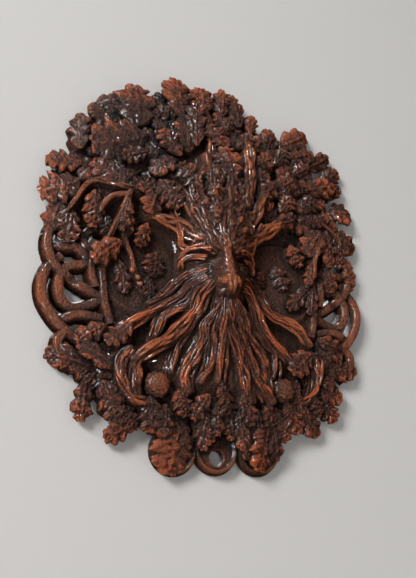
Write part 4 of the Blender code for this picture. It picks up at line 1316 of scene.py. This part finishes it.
@dataclass(frozen=True)
class Studio:
    """A pale sweep that rises behind the casting, soft light from the upper left, and the camera."""

    azimuth: float = 25.1
    elevation: float = -19.6
    roll: float = -3.4
    distance: float = 0.408
    target: Row = (-0.0009, 0.0, -0.0042)
    focal_pixels: float = 700.0
    long_side: float = 578.0
    paper: Row = (0.575, 0.560, 0.545, 1)
    sky: Row = (0.80, 0.80, 0.80, 1)
    sky_strength: float = 0.30
    lights: tuple = (
        ("window_light", (-1.65, -1.35, 0.80), 0.75, 51.0, None),
        ("fill_light", (0.1, -1.2, -0.9), 1.2, 6.5, "visible_glossy"),
        ("glint_light", (-0.35, -0.60, 0.95), 0.08, 10.0, "visible_diffuse"),
        ("low_glint_light", (-0.95, -0.95, -0.30), 0.09, 10.5, "visible_diffuse"),
        ("back_light", (0.3, 1.4, 0.6), 1.2, 9.0, None),
    )

    def camera(self) -> None:
        """The camera, at the photograph's place."""
        turn, tilt, roll = (math.radians(v) for v in (self.azimuth, self.elevation, self.roll))
        right = Vector((math.cos(turn), -math.sin(turn), 0))
        ahead = Vector((math.sin(turn) * math.cos(tilt), math.cos(turn) * math.cos(tilt), -math.sin(tilt)))
        up = right.cross(ahead)
        right, up = right * math.cos(roll) + up * math.sin(roll), up * math.cos(roll) - right * math.sin(roll)
        lens = bpy.data.cameras.new("camera")
        lens.sensor_width = 36.0
        lens.lens = self.focal_pixels * lens.sensor_width / self.long_side
        lens.clip_start = 0.01
        eye = Workshop.link("camera", lens)
        eye.matrix_world = Matrix((right, up, -ahead)).transposed().to_4x4()
        eye.matrix_world.translation = Vector(self.target) - ahead * self.distance
        bpy.context.scene.camera = eye

    def light(self, name: str, place: Row, size: float, watts: float, hidden: str | None) -> None:
        """One soft square light aimed at the casting.

        Args: name, place, size, watts, as they say; hidden, the ray visibility that is switched off, if any.
        """
        lamp = bpy.data.lights.new(name, "AREA")
        lamp.size = size
        lamp.energy = watts
        thing = Workshop.link(name, lamp)
        thing.location = place
        thing.rotation_euler = (-Vector(place)).to_track_quat("-Z", "Y").to_euler()
        if hidden:
            setattr(thing, hidden, False)

    def sweep(self) -> Object:
        """The pale floor and backdrop in one curved sheet, seen only from the front."""
        behind, floor, bend, reach, top, half = 0.0012, -0.62, 0.30, 2.4, 1.6, 2.2
        turns = [math.pi / 2 * i / 12 for i in range(13)]
        curve = [(behind - bend + bend * math.sin(t), floor + bend - bend * math.cos(t)) for t in turns]
        line = [(-reach, floor), *curve, (behind, top)]
        mesh = bpy.data.meshes.new("studio_sweep")
        rows = [(side * half, y, z) for y, z in line for side in (-1, 1)]
        mesh.from_pydata(rows, [], sheet_faces(len(line), 2)[0].tolist())
        mesh.shade_smooth()
        sheet = Workshop.link("studio_sweep", mesh)
        material = bpy.data.materials.new("pale_paper")
        material.use_nodes = True
        tree = Graph(material.node_tree)
        paper, end = (tree.tree.nodes[name] for name in ("Principled BSDF", "Material Output"))
        tree.feed(paper.inputs["Base Color"], self.paper)
        tree.feed(paper.inputs["Roughness"], 0.9)
        behind_it = tree.add("ShaderNodeNewGeometry").outputs["Backfacing"]
        clear = tree.add("ShaderNodeBsdfTransparent").outputs[0]
        mixed = tree.add("ShaderNodeMixShader", i0=behind_it, i1=paper.outputs[0], i2=clear)
        tree.feed(end.inputs["Surface"], mixed.outputs[0])
        mesh.materials.append(material)
        sheet.visible_shadow = False
        sheet.visible_glossy = False
        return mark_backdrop(sheet)

    def build(self) -> None:
        """Sets up the whole studio."""
        self.camera()
        for row in self.lights:
            self.light(*row)
        world = bpy.data.worlds.new("studio")
        world.use_nodes = True
        world.node_tree.nodes["Background"].inputs["Color"].default_value = self.sky
        world.node_tree.nodes["Background"].inputs["Strength"].default_value = self.sky_strength
        world.cycles_visibility.glossy = False
        bpy.context.scene.world = world
        bpy.context.scene.view_settings.view_transform = "Standard"
        self.sweep()


# Where small filling leaves may lie: the corners of each box of the plan and how many are tried there
FILLING = (
    ((-84, 42), (-22, 112), 84), ((24, 34), (90, 100), 96), ((-20, 84), (26, 122), 30),
    ((-82, -84), (-40, -36), 26), ((-38, -92), (44, -66), 22), ((44, -84), (80, -30), 28),
)


def under_leaves(seed: int, turn: float = 0.9, lengths: Point = (12, 18), widths: Point = (0.60, 0.78),
                 lifts: Point = (-3.2, -0.2)) -> list[Row]:
    """Small leaves that fill the hollows between the drawn ones, pointing outwards, clear of the fixing hole.

    Args: seed, chooses where they lie; turn, how far one may point aside, in radians; lengths, widths, lifts,
        the least and the most, each width as a share of the length.
    Returns: leaf rows.
    """
    rng = np.random.default_rng(seed)
    rows = []
    for low, high, count in FILLING:
        for px, pz in rng.uniform(low, high, (count, 2)):
            beyond_rim = math.hypot(px / 92, (pz - 8) / 112) > 0.90
            over_hole = abs(px + 4) < 17 and pz < -76
            if beyond_rim or over_hole:
                continue
            heading = math.atan2(pz - 10, px) + rng.uniform(-turn, turn)
            length = rng.uniform(*lengths)
            tip = (px + length * math.cos(heading), pz + length * math.sin(heading))
            rows.append((px, pz, *tip, length * rng.uniform(*widths), rng.uniform(*lifts)))
    return rows


def lower_strands(slim: float = 0.8, drop: float = 1.8, aside: float = 3.4, below: float = 1.0) -> list[Row]:
    """Slimmer strands that run low in the gaps of the beard, to one side and the other in turn.

    Args: slim, their share of the drawn width; drop, how much lower they lie; aside, below, how far they move.
    Returns: strand rows.
    """
    rows = []
    for number, (root, end, lift, *points) in enumerate(BEARD):
        shift = aside if number % 2 else -aside
        rows.append((root * slim, end * slim, lift - drop, *[(px + shift, pz - below) for px, pz in points]))
    return rows


def main() -> None:
    """Builds the casting piece by piece inside the frame and sets up the studio."""
    logging.basicConfig(level=logging.INFO, format="%(name)s: %(message)s")
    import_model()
    low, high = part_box(NODE)
    shop = Workshop((high.z - low.z) / PLAN_LENGTH)
    surface = Surface()
    finish = Dresser().material
    ground = Ground(shop, surface)
    ground.make(CROWN_LEAVES + SIDE_LEAVES + FOOT_LEAVES, BRANCHES + BEARD + TWIGS, finish(Finishes.FIELD))
    TrunkMask(shop, surface).make(ground.keyhole(), finish(Finishes.BARK))
    FootLobes(shop, ground).make(finish(Finishes.KNOT))
    sweeps = Sweeps(shop, surface)
    curls = [(*row[:3], *facing(side, row[3:])) for side in (-1, 1) for row in CHEEK_CURLS]
    for name, rows, fine, seed, kind in (
        ("beard_under", lower_strands(), 1.3, 500, Finishes.BARK),
        ("branches", BRANCHES, 2.0, 100, Finishes.BARK), ("beard_roots", BEARD, 1.25, 200, Finishes.ROOT),
        ("side_twigs", TWIGS, 1.5, 300, Finishes.KNOT), ("cheek_curls", curls, 1.1, 400, Finishes.ROOT),
    ):
        lines = [rope for number, row in enumerate(rows) for rope in sweeps.bundle(row, fine, seed + number)]
        sweeps.make(name, lines, sweeps.rounded(), 0.45, finish(kind))
    for name, rows, half, height, dip, grain in (
        ("knot_bands", KNOT_BANDS, 2.7, 7.2, 2.2, 1.0), ("knot_posts", POSTS, 2.2, 8.7, 0.0, 0.9),
    ):
        lines = [
            sweeps.band_line(facing(side, row[1:]), half, height, dip, row[0])
            for side in (-1, 1) for row in rows
        ]
        sweeps.make(name, lines, sweeps.banded(half, height - WALL_GAP), grain, finish(Finishes.KNOT))
    foliage = Foliage(shop, surface)
    for name, rows, seed, ribs, across in (
        ("crown_leaves", CROWN_LEAVES, 31, 44, 17), ("side_leaves", SIDE_LEAVES, 32, 44, 17),
        ("foot_leaves", FOOT_LEAVES, 33, 44, 17), ("under_leaves", under_leaves(8), 34, 18, 9),
    ):
        foliage.make(name, rows, seed, ribs, across, finish(Finishes.LEAF))
    fruit = Fruit(shop, surface)
    fruit.acorns(finish(Finishes.KNOT))
    fruit.berries(finish(Finishes.BARK))
    PatinaAndShade(shop).apply()
    Studio().build()
    bpy.context.view_layer.update()


if __name__ == "__main__":
    main()
